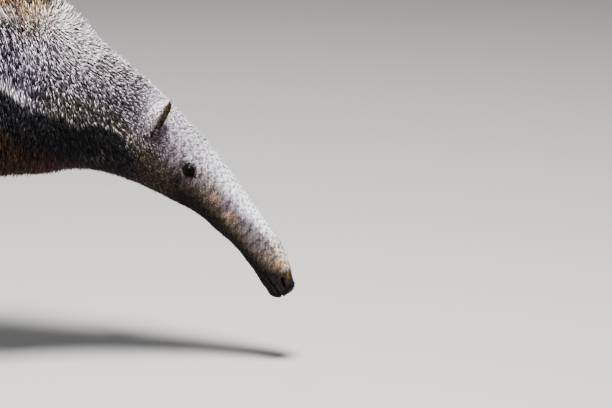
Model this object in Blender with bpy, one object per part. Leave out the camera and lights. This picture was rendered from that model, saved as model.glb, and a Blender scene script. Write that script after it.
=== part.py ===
"""Giant anteater (Myrmecophaga tridactyla), life size, standing in a slow step with its head lowered.

Metres, +Z up. The animal faces +X, its right side faces -Y, and the floor is at Z = 0.
The body is modelled whole, as a trunk and four limbs, and is then parted by thin cuts into head, neck,
torso, tail and legs. Ears, eyes and claws are set into their own seats.
"""

import math
import random
from collections import namedtuple

import bmesh
import bpy
import numpy as np
from mathutils import Vector

GAP = 0.0004  # between touching nodes
SEED = 11

# Trunk, from the snout to the end of the tail's bony core. Each section is a ring through a point of the
# back line and a point of the belly line, both in the X-Z plane. Lean above 0 narrows it towards the back.
Section = namedtuple("Section", "back belly half_width lean")
TRUNK = [
    Section((0.972, 0.139), (0.930, 0.122), 0.0215, 0.00),  # lips
    Section((0.967, 0.159), (0.920, 0.135), 0.0240, 0.00),
    Section((0.952, 0.192), (0.902, 0.160), 0.0270, 0.00),
    Section((0.932, 0.223), (0.880, 0.187), 0.0300, 0.02),
    Section((0.907, 0.259), (0.853, 0.212), 0.0345, 0.03),
    Section((0.876, 0.305), (0.824, 0.237), 0.0410, 0.04),  # bridge of the snout
    Section((0.846, 0.346), (0.787, 0.257), 0.0490, 0.05),  # eyes
    Section((0.816, 0.380), (0.754, 0.274), 0.0570, 0.05),
    Section((0.785, 0.412), (0.722, 0.288), 0.0640, 0.04),  # ears
    Section((0.755, 0.443), (0.690, 0.299), 0.0700, 0.04),
    Section((0.722, 0.471), (0.660, 0.303), 0.0770, 0.05),  # nape
    Section((0.682, 0.506), (0.625, 0.302), 0.0860, 0.07),
    Section((0.638, 0.545), (0.585, 0.294), 0.0970, 0.09),
    Section((0.588, 0.583), (0.540, 0.292), 0.1100, 0.11),
    Section((0.525, 0.608), (0.485, 0.283), 0.1260, 0.13),  # shoulders
    Section((0.440, 0.618), (0.415, 0.266), 0.1380, 0.14),
    Section((0.330, 0.616), (0.325, 0.262), 0.1440, 0.14),
    Section((0.200, 0.608), (0.200, 0.264), 0.1470, 0.13),
    Section((0.060, 0.598), (0.070, 0.274), 0.1480, 0.12),
    Section((-0.070, 0.580), (-0.045, 0.293), 0.1400, 0.10),
    Section((-0.170, 0.543), (-0.130, 0.325), 0.1160, 0.08),  # rump
    Section((-0.245, 0.496), (-0.205, 0.350), 0.0820, 0.05),
    Section((-0.310, 0.458), (-0.280, 0.352), 0.0560, 0.02),  # root of the tail
    Section((-0.400, 0.428), (-0.385, 0.344), 0.0410, 0.00),
    Section((-0.550, 0.396), (-0.545, 0.330), 0.0310, 0.00),
    Section((-0.700, 0.370), (-0.700, 0.318), 0.0230, 0.00),
    Section((-0.840, 0.348), (-0.840, 0.316), 0.0140, 0.00),
]
SNOUT_CAP = 0.021  # how far the blunt end of the snout reaches past the first section
SNOUT_BLUNTNESS = 1.5  # exponent of the cap's profile, where 1 is round
TAIL_CAP = 0.018
CAP_TURNS = (70, 48, 24)  # degrees of a cap's rings, from the tip inwards
TRUNK_SIDES = 24
STEPS = 2  # rings for each section or limb ring
SQUARENESS = 2.15  # exponent of the trunk's rings, where 2 is an ellipse

# Planes that part the trunk: a point and the forward normal, in the X-Z plane.
HEAD_CUT = ((0.706, 0.385), (0.80, -0.60))
NECK_CUT = ((0.545, 0.440), (0.985, -0.17))
TAIL_CUT = ((-0.272, 0.418), (0.97, 0.24))

# Limbs, as rings from inside the trunk down to below the floor, for the right side (-Y).
# Fore and side are the half-sizes along the animal and across it.
Ring = namedtuple("Ring", "at fore side")
FORE_LEG = [
    Ring((0.024, -0.060, 0.500), 0.070, 0.044),
    Ring((0.020, -0.082, 0.430), 0.088, 0.056),
    Ring((0.006, -0.098, 0.350), 0.086, 0.058),
    Ring((-0.012, -0.108, 0.275), 0.074, 0.054),  # elbow
    Ring((-0.010, -0.112, 0.205), 0.062, 0.050),
    Ring((-0.002, -0.113, 0.135), 0.053, 0.046),
    Ring((0.006, -0.112, 0.088), 0.050, 0.045),  # wrist
    Ring((0.014, -0.111, 0.048), 0.055, 0.048),  # hand
    Ring((0.018, -0.110, 0.018), 0.053, 0.045),
    Ring((0.018, -0.110, -0.012), 0.046, 0.039),
]
HIND_LEG = [
    Ring((0.050, -0.050, 0.490), 0.080, 0.046),
    Ring((0.055, -0.080, 0.410), 0.108, 0.062),
    Ring((0.066, -0.098, 0.330), 0.102, 0.061),  # knee
    Ring((0.050, -0.106, 0.250), 0.080, 0.053),
    Ring((0.020, -0.108, 0.175), 0.061, 0.046),
    Ring((-0.002, -0.108, 0.110), 0.050, 0.040),  # hock
    Ring((-0.004, -0.108, 0.060), 0.045, 0.037),
    Ring((0.000, -0.108, 0.026), 0.036, 0.032),
]
HIND_FOOT = [  # from the heel forwards; fore is the half-height here
    Ring((-0.052, -0.108, 0.022), 0.012, 0.014),
    Ring((-0.040, -0.108, 0.024), 0.026, 0.027),
    Ring((-0.010, -0.109, 0.026), 0.033, 0.035),
    Ring((0.035, -0.111, 0.022), 0.029, 0.039),
    Ring((0.075, -0.113, 0.018), 0.022, 0.041),
    Ring((0.105, -0.114, 0.014), 0.017, 0.037),
    Ring((0.120, -0.114, 0.012), 0.009, 0.026),
]
LIMBS = {"fore": FORE_LEG, "hind": HIND_LEG}
LEG_SIDES = 16
FOOT_X = {  # where the wrists and hocks stand: a slow step
    "fore": {"right": 0.405, "left": 0.348},
    "hind": {"right": -0.150, "left": -0.068},
}
SIDES = {"right": 1, "left": -1}  # Y of the right side's values times this

# Regions that part the legs from the torso: they hold the leg with room to spare.
REGION_ROOM = 0.022
REGION_OUT = 0.013  # its shift away from the other leg
REGION_GAP = 0.0005
REGION_TOP = {"fore": 0.440, "hind": 0.425}
REGION_DOME = 0.040  # rise of its domed top
REGION_SHOULDER = (0.70, 0.68)  # height up the dome and scale of the dome's ring
REGION_BELOW = -0.060  # Z that it reaches down to
REGION_FOOT = {  # room for the digits: its middle, ahead, out and up, and its half-sizes
    "fore": ((0.030, -0.104, 0.020), (0.100, 0.090, 0.090)),
    "hind": ((0.040, -0.112, 0.000), (0.125, 0.075, 0.100)),
}
VOXEL = 0.0075  # of the step that melts the limbs into the trunk
MELT_ROUNDS = 7
BODY_TRIANGLES = 1850

# Hands and feet
FORE_DIGITS = [  # at, from the hand's centre; the blob's radius; the claw's length and thickness
    ((0.030, 0.034, 0.018), 0.0140, 0.030, 0.0046),
    ((0.042, 0.018, 0.004), 0.0175, 0.066, 0.0074),
    ((0.046, -0.002, -0.018), 0.0200, 0.080, 0.0090),
    ((0.042, -0.026, -0.026), 0.0155, 0.028, 0.0046),
]
HAND_AT = (0.014, -0.111, 0.044)
DIGIT_LENGTH = 1.25  # of its radius
CLAW_ROOT = (0.75, 0.35)  # ahead and inwards of its digit's middle, in radii
CLAW_BEND = (0.38, 0.38)  # control point, ahead and inwards of the root, in claw lengths
CLAW_TIP = (-0.14, 0.80)  # the hand walks on its knuckles, so the claws turn in and back
CLAW_DROP = 0.010
CLAW_CLEAR = 0.006  # lowest Z of a fore claw's middle line
CLAW_FLATNESS = 0.72
TOE_AT = (0.114, -0.114)  # middle toe, ahead of the foot's place and out
TOE_RADII = (1.50, 0.86, 1.00)  # of TOE_RADIUS
TOE_RADIUS = 0.0105
TOE_FAN = 0.030  # half-width of the row of toes
TOE_CURVE = 0.016  # how far behind the middle toe the outer ones stand
TOE_SPLAY = 0.35  # radians that the outer toes turn out
HIND_TOES = 5
HIND_CLAW = (0.026, 0.0040)  # length, thickness
HIND_CLAW_CLEAR = 0.0035

# Head
EYE_AT = (0.8163, 0.0425, 0.3102)
EYE_RADIUS = 0.0100
LID_RADII = (0.0106, 0.0084)
LID_THICKNESS = 0.0034
LID_OUT = 0.55  # of the eye's radius
LID_FACING = (0.10, 1.0, 0.16)  # ahead, out, up
LID_SLANT = (0.72, 0.0, -0.69)  # the almond's long axis
LID_SIDES = (16, 6)  # round the eye, round the lid
# The ear is a cup. Along it, from root to tip: the cup's back, its front edge and its half-width.
# Back and edge are measured from the root, ahead and up; a turn lays the ear back.
EarRow = namedtuple("EarRow", "back edge half_width out")
EAR = [
    EarRow((-0.003, -0.014), (0.002, -0.013), 0.0055, -0.004),
    EarRow((0.000, 0.000), (0.005, 0.002), 0.0075, 0.000),
    EarRow((-0.003, 0.020), (0.012, 0.016), 0.0110, 0.004),
    EarRow((0.002, 0.038), (0.020, 0.032), 0.0125, 0.007),
    EarRow((0.012, 0.051), (0.027, 0.046), 0.0095, 0.009),
    EarRow((0.025, 0.057), (0.031, 0.055), 0.0045, 0.010),
]
EAR_TIP = (0.0325, 0.0590)
EAR_ROOT = (0.7570, 0.0575, 0.3640)
EAR_TURN = {"right": 0.0, "left": 48.0}
EAR_WALL = 0.0026
EAR_THINNING = 0.36  # share of the wall that is gone at the tip
EAR_WRAP = 96.0  # how far round the cup's wall comes on each side
EAR_COLUMNS = 6

NOSTRIL = [(0.9555, 0.0240, 0.1390), (0.9570, 0.0235, 0.1315), (0.9595, 0.0225, 0.1245)]
NOSTRIL_RADII = (0.0017, 0.0030, 0.0024)
MOUTH_BACK = (0.9310, 0.1420)  # corner of the mouth, in the X-Z plane
MOUTH_FRONT = (0.9698, 0.0871)  # past the lips
MOUTH_SLIT = (0.0004, 0.0016)  # half its height at the corner and in front
MOUTH_WIDE = 0.05

# Long hair. Cores reach at most half way to the tips, and locks are rooted in them.
TAIL_CORE = [
    Section((-0.276, 0.462), (-0.296, 0.345), 0.050, -0.05),
    Section((-0.360, 0.446), (-0.375, 0.300), 0.050, -0.20),
    Section((-0.470, 0.432), (-0.480, 0.262), 0.048, -0.30),
    Section((-0.610, 0.412), (-0.620, 0.236), 0.044, -0.30),
    Section((-0.740, 0.386), (-0.745, 0.226), 0.036, -0.30),
    Section((-0.840, 0.352), (-0.840, 0.250), 0.024, -0.20),
]
TAIL_CORE_SIDES = 16
TAIL_CORE_SQUARENESS = 1.9
TAIL_CORE_CAP = 0.045
CREST = [  # top of the mane's core along the back: x, z
    (0.620, 0.556),
    (0.560, 0.600),
    (0.470, 0.628),
    (0.330, 0.638),
    (0.180, 0.634),
    (0.040, 0.626),
    (-0.080, 0.606),
    (-0.180, 0.566),
    (-0.240, 0.520),
    (-0.262, 0.470),
]
CREST_HALF_WIDTH = 0.034
CREST_SHOULDER = (0.62, 0.022)  # share of the half-width, and depth below the top
CREST_DEPTH = 0.085

# Rows of free locks. Place is where the row starts and ends along the surface, turn is how far round it
# lies (0 at the side, 90 on top, -90 below). Leave and end are the hair's directions at its root and tip:
# ahead, out to the side, up. Twist turns a lock from flat on the surface to on edge.
LockRow = namedtuple("LockRow", "place turn count length width leave end twist both")
TAIL_LOCKS = [
    LockRow((0.1, 4.4), 90, 6, (0.15, 0.20), 0.066, (-0.80, 0.0, 0.60), (-0.96, 0.0, -0.28), 84, False),
    LockRow((0.1, 4.5), 48, 6, (0.22, 0.20), 0.072, (-0.80, 0.42, 0.12), (-0.62, 0.00, -0.78), 12, True),
    LockRow((0.1, 4.2), 2, 6, (0.22, 0.24), 0.074, (-0.70, 0.42, -0.50), (-0.44, -0.04, -0.90), 0, True),
    LockRow((0.6, 4.5), -48, 5, (0.17, 0.21), 0.074, (-0.62, 0.30, -0.72), (-0.34, -0.05, -0.95), 0, True),
    LockRow((0.4, 4.6), -90, 6, (0.15, 0.16), 0.066, (-0.60, 0.0, -0.80), (-0.42, 0.0, -0.90), 84, False),
    LockRow((4.8, 4.8), 62, 1, (0.16, 0.16), 0.054, (-0.97, 0.10, 0.10), (-0.86, 0.0, -0.50), 50, True),
    LockRow((4.8, 4.8), -30, 1, (0.17, 0.17), 0.054, (-0.95, 0.10, -0.25), (-0.76, 0.0, -0.64), 50, True),
]
BACK_LOCKS = [
    LockRow((14.0, 18.2), 90, 8, (0.075, 0.125), 0.054, (-0.76, 0.0, 0.65), (-0.98, 0.0, 0.10), 82, False),
    LockRow((18.4, 20.9), 90, 4, (0.135, 0.140), 0.056, (-0.84, 0.0, 0.54), (-0.92, 0.0, -0.38), 78, False),
    LockRow((14.2, 20.6), 76, 7, (0.075, 0.150), 0.056, (-0.78, 0.36, 0.48), (-0.88, 0.26, -0.38), 36, True),
]
NECK_LOCKS = [
    LockRow((11.3, 12.8), 90, 4, (0.030, 0.046), 0.032, (-0.30, 0.0, 0.95), (-0.66, 0.0, 0.75), 84, False),
    LockRow((11.5, 12.7), 74, 3, (0.030, 0.042), 0.030, (-0.30, 0.32, 0.88), (-0.64, 0.25, 0.70), 40, True),
]

# Rows of locks draped over the surface they grow from. Heading is 0 along the surface's sections
# (back on the trunk, down on a limb) and 90 down the flank, or back round the limb. Lift is how far the
# tip stands off.
DrapedRow = namedtuple("DrapedRow", "place turn count length width heading lift")
FLANK_LOCKS = [
    DrapedRow((15.2, 20.4), 54, 5, (0.125, 0.165), 0.084, (48, 22), 0.032),
    DrapedRow((16.4, 20.2), 28, 4, (0.120, 0.135), 0.086, (42, 16), 0.034),
]
# On the limbs the turn is 0 ahead, 90 on the outer side and 180 behind.
FORE_LOCKS = [
    DrapedRow((3.3, 6.2), 172, 4, (0.090, 0.075), 0.046, (8, 4), 0.026),
    DrapedRow((3.0, 5.6), 128, 3, (0.085, 0.075), 0.050, (16, 10), 0.022),
]
HIND_LOCKS = [
    DrapedRow((1.9, 5.2), 176, 4, (0.120, 0.085), 0.058, (6, 2), 0.034),
    DrapedRow((1.2, 4.5), 128, 4, (0.125, 0.090), 0.066, (12, 8), 0.032),
    DrapedRow((1.4, 3.4), 84, 2, (0.125, 0.100), 0.074, (18, 10), 0.030),
]
LIMB_LOCKS = {"fore": FORE_LOCKS, "hind": HIND_LOCKS}
LOCK_SUNK = 0.012
LOCK_THICKNESS = 0.22  # of its width
LOCK_PROFILE = (0.86, 0.50, -0.95)  # its half-width along its length: constant, linear and square terms
LOCK_THINNING = (1.2, -0.6)  # its thickness along its length: constant and linear terms
LOCK_BEND = 0.42  # where a free lock bends, and the run on to its tip, in lengths
LOCK_RUN = 0.60
LOCK_RISE = 0.6  # exponent of a draped lock's lift
LOCK_RINGS = 3
LOCK_CLEAR = 0.012  # lowest Z of a tip

SMOOTH_UNDER = 50  # degrees between faces that shade as one surface

COATS = {  # colour and roughness
    "head": ((0.33, 0.27, 0.24), 0.85),
    "neck": ((0.30, 0.26, 0.24), 0.90),
    "torso": ((0.22, 0.18, 0.16), 0.92),
    "tail": ((0.20, 0.15, 0.12), 0.92),
    "fore_leg": ((0.62, 0.57, 0.50), 0.90),
    "hind_leg": ((0.09, 0.07, 0.06), 0.92),
    "ear": ((0.36, 0.29, 0.25), 0.85),
    "eye": ((0.02, 0.012, 0.01), 0.08),
    "claw": ((0.30, 0.24, 0.18), 0.45),
}


def clear_scene():
    for old in list(bpy.data.objects):
        bpy.data.objects.remove(old, do_unlink=True)


def coat_material(name):
    material = bpy.data.materials.get(name)
    if material is None:
        colour, roughness = COATS[name]
        material = bpy.data.materials.new(name)
        material.use_nodes = True
        shader = material.node_tree.nodes["Principled BSDF"]
        shader.inputs["Base Color"].default_value = (*colour, 1.0)
        shader.inputs["Roughness"].default_value = roughness
        shader.inputs["Metallic"].default_value = 0.0
    return material


def mesh_object(name, points, faces):
    mesh = bpy.data.meshes.new(name)
    mesh.from_pydata([tuple(p) for p in points], [], faces)
    made = bpy.data.objects.new(name, mesh)
    bpy.context.scene.collection.objects.link(made)
    shape = bmesh.new()
    shape.from_mesh(mesh)
    bmesh.ops.recalc_face_normals(shape, faces=shape.faces)
    shape.to_mesh(mesh)
    shape.free()
    return made


def block(name, corners):
    """A closed block from its eight corners, four round one end and four round the other."""
    faces = [(0, 1, 2, 3), (4, 5, 6, 7), (0, 1, 5, 4), (1, 2, 6, 5), (2, 3, 7, 6), (3, 0, 4, 7)]
    return mesh_object(name, corners, faces)


def closed_loft(name, rings, first_pole=None, last_pole=None):
    """A closed body of triangles through rings of equal count. A missing pole is its end ring's middle."""
    count = len(rings[0])
    points = [p for ring in rings for p in ring]
    points.append(first_pole or sum(rings[0], Vector()) / count)
    points.append(last_pole or sum(rings[-1], Vector()) / count)
    first, last = len(points) - 2, len(points) - 1
    faces = []
    for r in range(len(rings) - 1):
        for i in range(count):
            j = (i + 1) % count
            a, b, c, d = r * count + i, r * count + j, (r + 1) * count + j, (r + 1) * count + i
            faces += [(a, b, c), (a, c, d)]
    end = (len(rings) - 1) * count
    for i in range(count):
        j = (i + 1) % count
        faces.append((first, j, i))
        faces.append((last, end + i, end + j))
    return mesh_object(name, points, faces)


def spline(values, at):
    """Catmull-Rom through rows of values, read at fractional row numbers."""
    rows = np.asarray(values, float)
    rows = np.vstack([2 * rows[0] - rows[1], rows, 2 * rows[-1] - rows[-2]])
    at = np.clip(np.asarray(at, float), 0, len(rows) - 3 - 1e-9)
    i = at.astype(int)
    t = (at - i)[:, None]
    a, b, c, d = rows[i], rows[i + 1], rows[i + 2], rows[i + 3]
    return 0.5 * (2 * b + (c - a) * t + (2 * a - 5 * b + 4 * c - d) * t**2 + (3 * b - a - 3 * c + d) * t**3)


def section_rows(sections):
    return [(*s.back, *s.belly, s.half_width, s.lean) for s in sections]


def section_ring(row, sides, squareness=SQUARENESS, scale=1.0, push=(0.0, 0.0)):
    """Ring through a back point and a belly point, scaled about its middle and pushed in the X-Z plane."""
    back, belly = Vector((row[0], 0, row[1])), Vector((row[2], 0, row[3]))
    middle, half = (back + belly) / 2, (back - belly) / 2
    ring = []
    for i in range(sides):
        turn = 2 * math.pi * i / sides
        across, up = math.cos(turn), math.sin(turn)
        across = math.copysign(abs(across) ** (2 / squareness), across)
        up = math.copysign(abs(up) ** (2 / squareness), up)
        side = row[4] * across * (1 - row[5] * up)
        ring.append(middle + scale * (half * up + Vector((0, side, 0))) + Vector((push[0], 0, push[1])))
    return ring


def outward(row_end, row_next):
    """Unit vector in the X-Z plane from the second section's middle to the end section's."""
    end = Vector((row_end[0] + row_end[2], row_end[1] + row_end[3])) / 2
    inner = Vector((row_next[0] + row_next[2], row_next[1] + row_next[3])) / 2
    return (end - inner).normalized()


def round_cap(row_end, row_next, depth, sides, blunt=1.0, squareness=SQUARENESS):
    """The pole of a rounded end, and its rings from the tip inwards."""
    way = outward(row_end, row_next)
    rings = []
    for turn in CAP_TURNS:
        share = math.sin(math.radians(turn)) ** (1 / blunt)
        scale = math.cos(math.radians(turn)) ** (1 / blunt)
        rings.append(section_ring(row_end, sides, squareness, scale, way * depth * share))
    middle = Vector(((row_end[0] + row_end[2]) / 2, 0, (row_end[1] + row_end[3]) / 2))
    return middle + Vector((way.x, 0, way.y)) * depth, rings


def smooth_rows(rows):
    """The rows of a spline through the given ones, with STEPS to each."""
    return spline(rows, [k / STEPS for k in range(STEPS * (len(rows) - 1) + 1)])


def build_trunk(name):
    rows = smooth_rows(section_rows(TRUNK))
    nose, nose_rings = round_cap(rows[0], rows[1], SNOUT_CAP, TRUNK_SIDES, SNOUT_BLUNTNESS)
    end, end_rings = round_cap(rows[-1], rows[-2], TAIL_CAP, TRUNK_SIDES)
    rings = nose_rings + [section_ring(row, TRUNK_SIDES) for row in rows] + end_rings[::-1]
    return closed_loft(name, rings, nose, end)


def limb_ring(at, way, fore, side, sides):
    """Ring round a limb's middle line, square to way."""
    across = (Vector((0, 1, 0)) - way * way.y).normalized()
    ahead = way.cross(across)
    turns = [2 * math.pi * i / sides for i in range(sides)]
    return [at + ahead * fore * math.cos(t) + across * side * math.sin(t) for t in turns]


def limb_loops(rows, foot, mirror):
    """Rings round a limb's rows. Foot is where its wrist or hock stands, mirror is 1 on the right side."""
    middles = [Vector((foot + row[0], row[1] * mirror, row[2])) for row in rows]
    loops = []
    for k, row in enumerate(rows):
        way = (middles[min(k + 1, len(rows) - 1)] - middles[max(k - 1, 0)]).normalized()
        loops.append(limb_ring(middles[k], way, row[3], row[4], LEG_SIDES))
    return middles, loops


def limb(name, rings, foot, mirror):
    rows = smooth_rows([(*ring.at, ring.fore, ring.side) for ring in rings])
    return closed_loft(name, limb_loops(rows, foot, mirror)[1])


def ball(name, at, radii, segments=12, rings=8):
    """An ellipsoid with its own half-sizes along X, Y and Z."""
    at = Vector(at)
    loops = []
    for r in range(1, rings):
        down = math.pi * r / rings
        turns = [2 * math.pi * i / segments for i in range(segments)]
        wide, high = math.sin(down), radii[2] * math.cos(down)
        ring = [(radii[0] * wide * math.cos(t), radii[1] * wide * math.sin(t), high) for t in turns]
        loops.append([at + Vector(point) for point in ring])
    up = Vector((0, 0, radii[2]))
    return closed_loft(name, loops, at + up, at - up)


def combine(target, others, operation, solver="EXACT"):
    """One Boolean of target with a collection of closed meshes, applied. The others are removed."""
    group = bpy.data.collections.new("joining")
    for other in others:
        group.objects.link(other)
    modifier = target.modifiers.new("join", "BOOLEAN")
    modifier.operand_type = "COLLECTION"
    modifier.collection = group
    modifier.operation = operation
    modifier.solver = solver
    graph = bpy.context.evaluated_depsgraph_get()
    result = bpy.data.meshes.new_from_object(target.evaluated_get(graph))
    target.modifiers.clear()
    target.data = result
    bpy.data.collections.remove(group)
    for other in others:
        bpy.data.objects.remove(other, do_unlink=True)
    return target


def volume_of(faces):
    """Volume inside a closed surface."""
    total = 0.0
    for face in faces:
        a = face.verts[0].co
        for k in range(1, len(face.verts) - 1):
            total += a.dot(face.verts[k].co.cross(face.verts[k + 1].co))
    return abs(total) / 6


def keep_largest(target):
    """Drops every closed surface but the one that holds most."""
    shape = bmesh.new()
    shape.from_mesh(target.data)
    left, islands = set(shape.faces), []
    while left:
        stack, island = [left.pop()], []
        while stack:
            face = stack.pop()
            island.append(face)
            for edge in face.edges:
                for other in edge.link_faces:
                    if other in left:
                        left.discard(other)
                        stack.append(other)
        islands.append(island)
    largest = max(islands, key=volume_of)
    spare = [face for island in islands if island is not largest for face in island]
    bmesh.ops.delete(shape, geom=spare, context="FACES")
    loose = [v for v in shape.verts if not v.link_faces]
    bmesh.ops.delete(shape, geom=loose, context="VERTS")
    shape.to_mesh(target.data)
    shape.free()
    return target


def applied(target, kind, **settings):
    """Adds one modifier, with its settings, and keeps its result."""
    modifier = target.modifiers.new(kind.lower(), kind)
    for key, value in settings.items():
        setattr(modifier, key, value)
    graph = bpy.context.evaluated_depsgraph_get()
    result = bpy.data.meshes.new_from_object(target.evaluated_get(graph))
    target.modifiers.clear()
    target.data = result


def melt(target):
    """Rounds off the creases where limbs and toes meet what they grow from, then thins the mesh."""
    applied(target, "REMESH", mode="VOXEL", voxel_size=VOXEL)
    applied(target, "SMOOTH", factor=0.5, iterations=MELT_ROUNDS)
    triangles = sum(len(face.vertices) - 2 for face in target.data.polygons)
    applied(target, "DECIMATE", ratio=BODY_TRIANGLES / triangles)
    keep_largest(target)


def copy_of(source, name):
    made = bpy.data.objects.new(name, source.data.copy())
    bpy.context.scene.collection.objects.link(made)
    return made


def grown(source, by=GAP):
    """A copy with each point moved outwards along its normal."""
    made = copy_of(source, source.name + "_seat")
    shape = bmesh.new()
    shape.from_mesh(made.data)
    shape.normal_update()
    moved = [(v, v.co + v.normal * by) for v in shape.verts]
    for v, at in moved:
        v.co = at
    shape.to_mesh(made.data)
    shape.free()
    return made


def half_space(name, point, normal, ahead, offset):
    """A large block whose one face lies on the plane, offset along the normal; it fills the side ahead."""
    reach = 2.5
    n = Vector((normal[0], 0, normal[1])).normalized() * (1 if ahead else -1)
    across, up = Vector((0, 1, 0)), n.cross(Vector((0, 1, 0)))
    face = Vector((point[0], 0, point[1])) + n * offset
    corners = []
    for depth in (0, reach):
        for s, t in ((-1, -1), (1, -1), (1, 1), (-1, 1)):
            corners.append(face + n * depth + across * s * reach + up * t * reach)
    return block(name, corners)


def part_by_plane(whole, name_ahead, cut):
    """Splits the piece ahead of the plane off as its own object, leaving a gap on the plane."""
    point, normal = cut
    ahead = copy_of(whole, name_ahead)
    combine(ahead, [half_space("side", point, normal, True, GAP / 2)], "INTERSECT")
    combine(whole, [half_space("side", point, normal, False, GAP / 2)], "INTERSECT")
    return keep_largest(ahead), keep_largest(whole)


def leg_region(kind, side, rings, grow):
    """The space that belongs to a leg: round its limb with room to spare, and round its digits."""
    mirror, foot = SIDES[side], FOOT_X[kind][side]
    rows = [(r.at[0], r.at[1] - REGION_OUT, r.at[2], r.fore, r.side) for r in rings]
    rows.append((rows[-1][0], rows[-1][1], REGION_BELOW, rows[-1][3], rows[-1][4]))
    room = REGION_ROOM + grow
    rows = [(x, y, z, fore + room, out + room) for x, y, z, fore, out in rows]
    rows = [row for row in smooth_rows(rows) if row[2] <= REGION_TOP[kind]]
    middles, loops = limb_loops(rows, foot, mirror)
    up = (middles[0] - middles[1]).normalized()
    rise, scale = REGION_SHOULDER
    shoulder = middles[0] + up * (REGION_DOME + grow) * rise
    loops.insert(0, limb_ring(shoulder, -up, rows[0][3] * scale, rows[0][4] * scale, LEG_SIDES))
    region = closed_loft("region", loops, middles[0] + up * (REGION_DOME + grow))
    at, radii = REGION_FOOT[kind]
    place = (foot + at[0], at[1] * mirror, at[2])
    return combine(region, [ball("room", place, [r + grow for r in radii], 16, 10)], "UNION")


def floor_block():
    corners = []
    for z in (-0.2, 0.0):
        corners += [Vector((x, y, z)) for x, y in ((-2, -2), (2, -2), (2, 2), (-2, 2))]
    return block("floor", corners)


def build_limb_bodies():
    """The four legs with their feet and digits, each as its own closed body."""
    made = []
    for side, mirror in SIDES.items():
        made.append(limb("fore", FORE_LEG, FOOT_X["fore"][side], mirror))
        for at, radius, _, _ in FORE_DIGITS:
            spot = hand_place(side) + Vector((at[0], at[1] * mirror, at[2]))
            made.append(ball("digit", spot, (radius * DIGIT_LENGTH, radius, radius), 10, 6))
        made.append(limb("hind", HIND_LEG, FOOT_X["hind"][side], mirror))
        made.append(limb("foot", HIND_FOOT, FOOT_X["hind"][side], mirror))
        for at, _ in hind_toes(side):
            made.append(ball("toe", at, [TOE_RADIUS * share for share in TOE_RADII], 8, 5))
    return made


def hand_place(side):
    """Middle of a hand."""
    return Vector((FOOT_X["fore"][side] + HAND_AT[0], HAND_AT[1] * SIDES[side], HAND_AT[2]))


def hind_toes(side):
    """Place and outward turn of each hind toe."""
    mirror = SIDES[side]
    toes = []
    for k in range(HIND_TOES):
        share = 2 * k / (HIND_TOES - 1) - 1
        ahead = FOOT_X["hind"][side] + TOE_AT[0] - TOE_CURVE * share * share
        out = (TOE_AT[1] + TOE_FAN * share) * mirror
        toes.append((Vector((ahead, out, TOE_RADIUS)), TOE_SPLAY * share * mirror))
    return toes


def tapered_tube(name, path, radii, sides=10, flat=1.0):
    """A closed tube along a path, with a ring of its own radius at each point; flat squeezes it across."""
    rings = []
    for k, at in enumerate(path):
        way = (path[min(k + 1, len(path) - 1)] - path[max(k - 1, 0)]).normalized()
        across = way.cross(Vector((0, 0, 1)))
        across = across.normalized() if across.length > 1e-4 else Vector((0, 1, 0))
        up = across.cross(way)
        turns = [2 * math.pi * i / sides for i in range(sides)]
        wide, high = across * radii[k] * flat, up * radii[k]
        rings.append([at + wide * math.cos(t) + high * math.sin(t) for t in turns])
    return closed_loft(name, rings)


def bent_path(start, control, end, count):
    """Points of a quadratic curve."""
    ts = [k / (count - 1) for k in range(count)]
    return [start * (1 - t) ** 2 + control * 2 * t * (1 - t) + end * t * t for t in ts]


def fore_claw(name, side, at, radius, length, thickness):
    """A hooked claw of the hand, which turns inwards and back from its digit."""
    mirror = SIDES[side]
    root = hand_place(side) + Vector((at[0], at[1] * mirror, at[2]))
    root += Vector((radius * CLAW_ROOT[0], radius * CLAW_ROOT[1] * mirror, 0))
    bend = root + Vector((length * CLAW_BEND[0], length * CLAW_BEND[1] * mirror, -CLAW_DROP / 5))
    tip = root + Vector((length * CLAW_TIP[0], length * CLAW_TIP[1] * mirror, -CLAW_DROP))
    tip.z = max(tip.z, CLAW_CLEAR)
    radii = [thickness * (1 - 0.93 * (k / 5) ** 1.6) for k in range(6)]
    return tapered_tube(name, bent_path(root, bend, tip, 6), radii, 6, CLAW_FLATNESS)


def hind_claw(name, at, turn):
    """A short claw of the hind foot."""
    length, thickness = HIND_CLAW
    way = Vector((math.cos(turn), -math.sin(turn), 0))
    root = at + way * TOE_RADIUS * 0.6 + Vector((0, 0, 0.001))
    bend = root + way * length * 0.6 + Vector((0, 0, 0.002))
    tip = root + way * length
    tip.z = HIND_CLAW_CLEAR
    radii = [thickness * (1 - 0.9 * (k / 4) ** 1.5) for k in range(5)]
    return tapered_tube(name, bent_path(root, bend, tip, 5), radii, 5, 0.8)


def build_claws():
    """Each claw as its own object, with the leg that holds it."""
    made = []
    for side in SIDES:
        for k, digit in enumerate(FORE_DIGITS):
            made.append((fore_claw(f"claw_fore_{side}_{k + 1}", side, *digit), f"leg_fore_{side}"))
        for k, (at, turn) in enumerate(hind_toes(side)):
            made.append((hind_claw(f"claw_hind_{side}_{k + 1}", at, turn), f"leg_hind_{side}"))
    return made


def head_point(at, mirror):
    """A point given for the left half of the head, on the side wanted."""
    return Vector((at[0], -at[1] * mirror, at[2]))


def laid_back(x, z, degrees):
    """A point of the ear, turned back about the ear's root."""
    turn = math.radians(degrees)
    return x * math.cos(turn) - z * math.sin(turn), x * math.sin(turn) + z * math.cos(turn)


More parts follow.
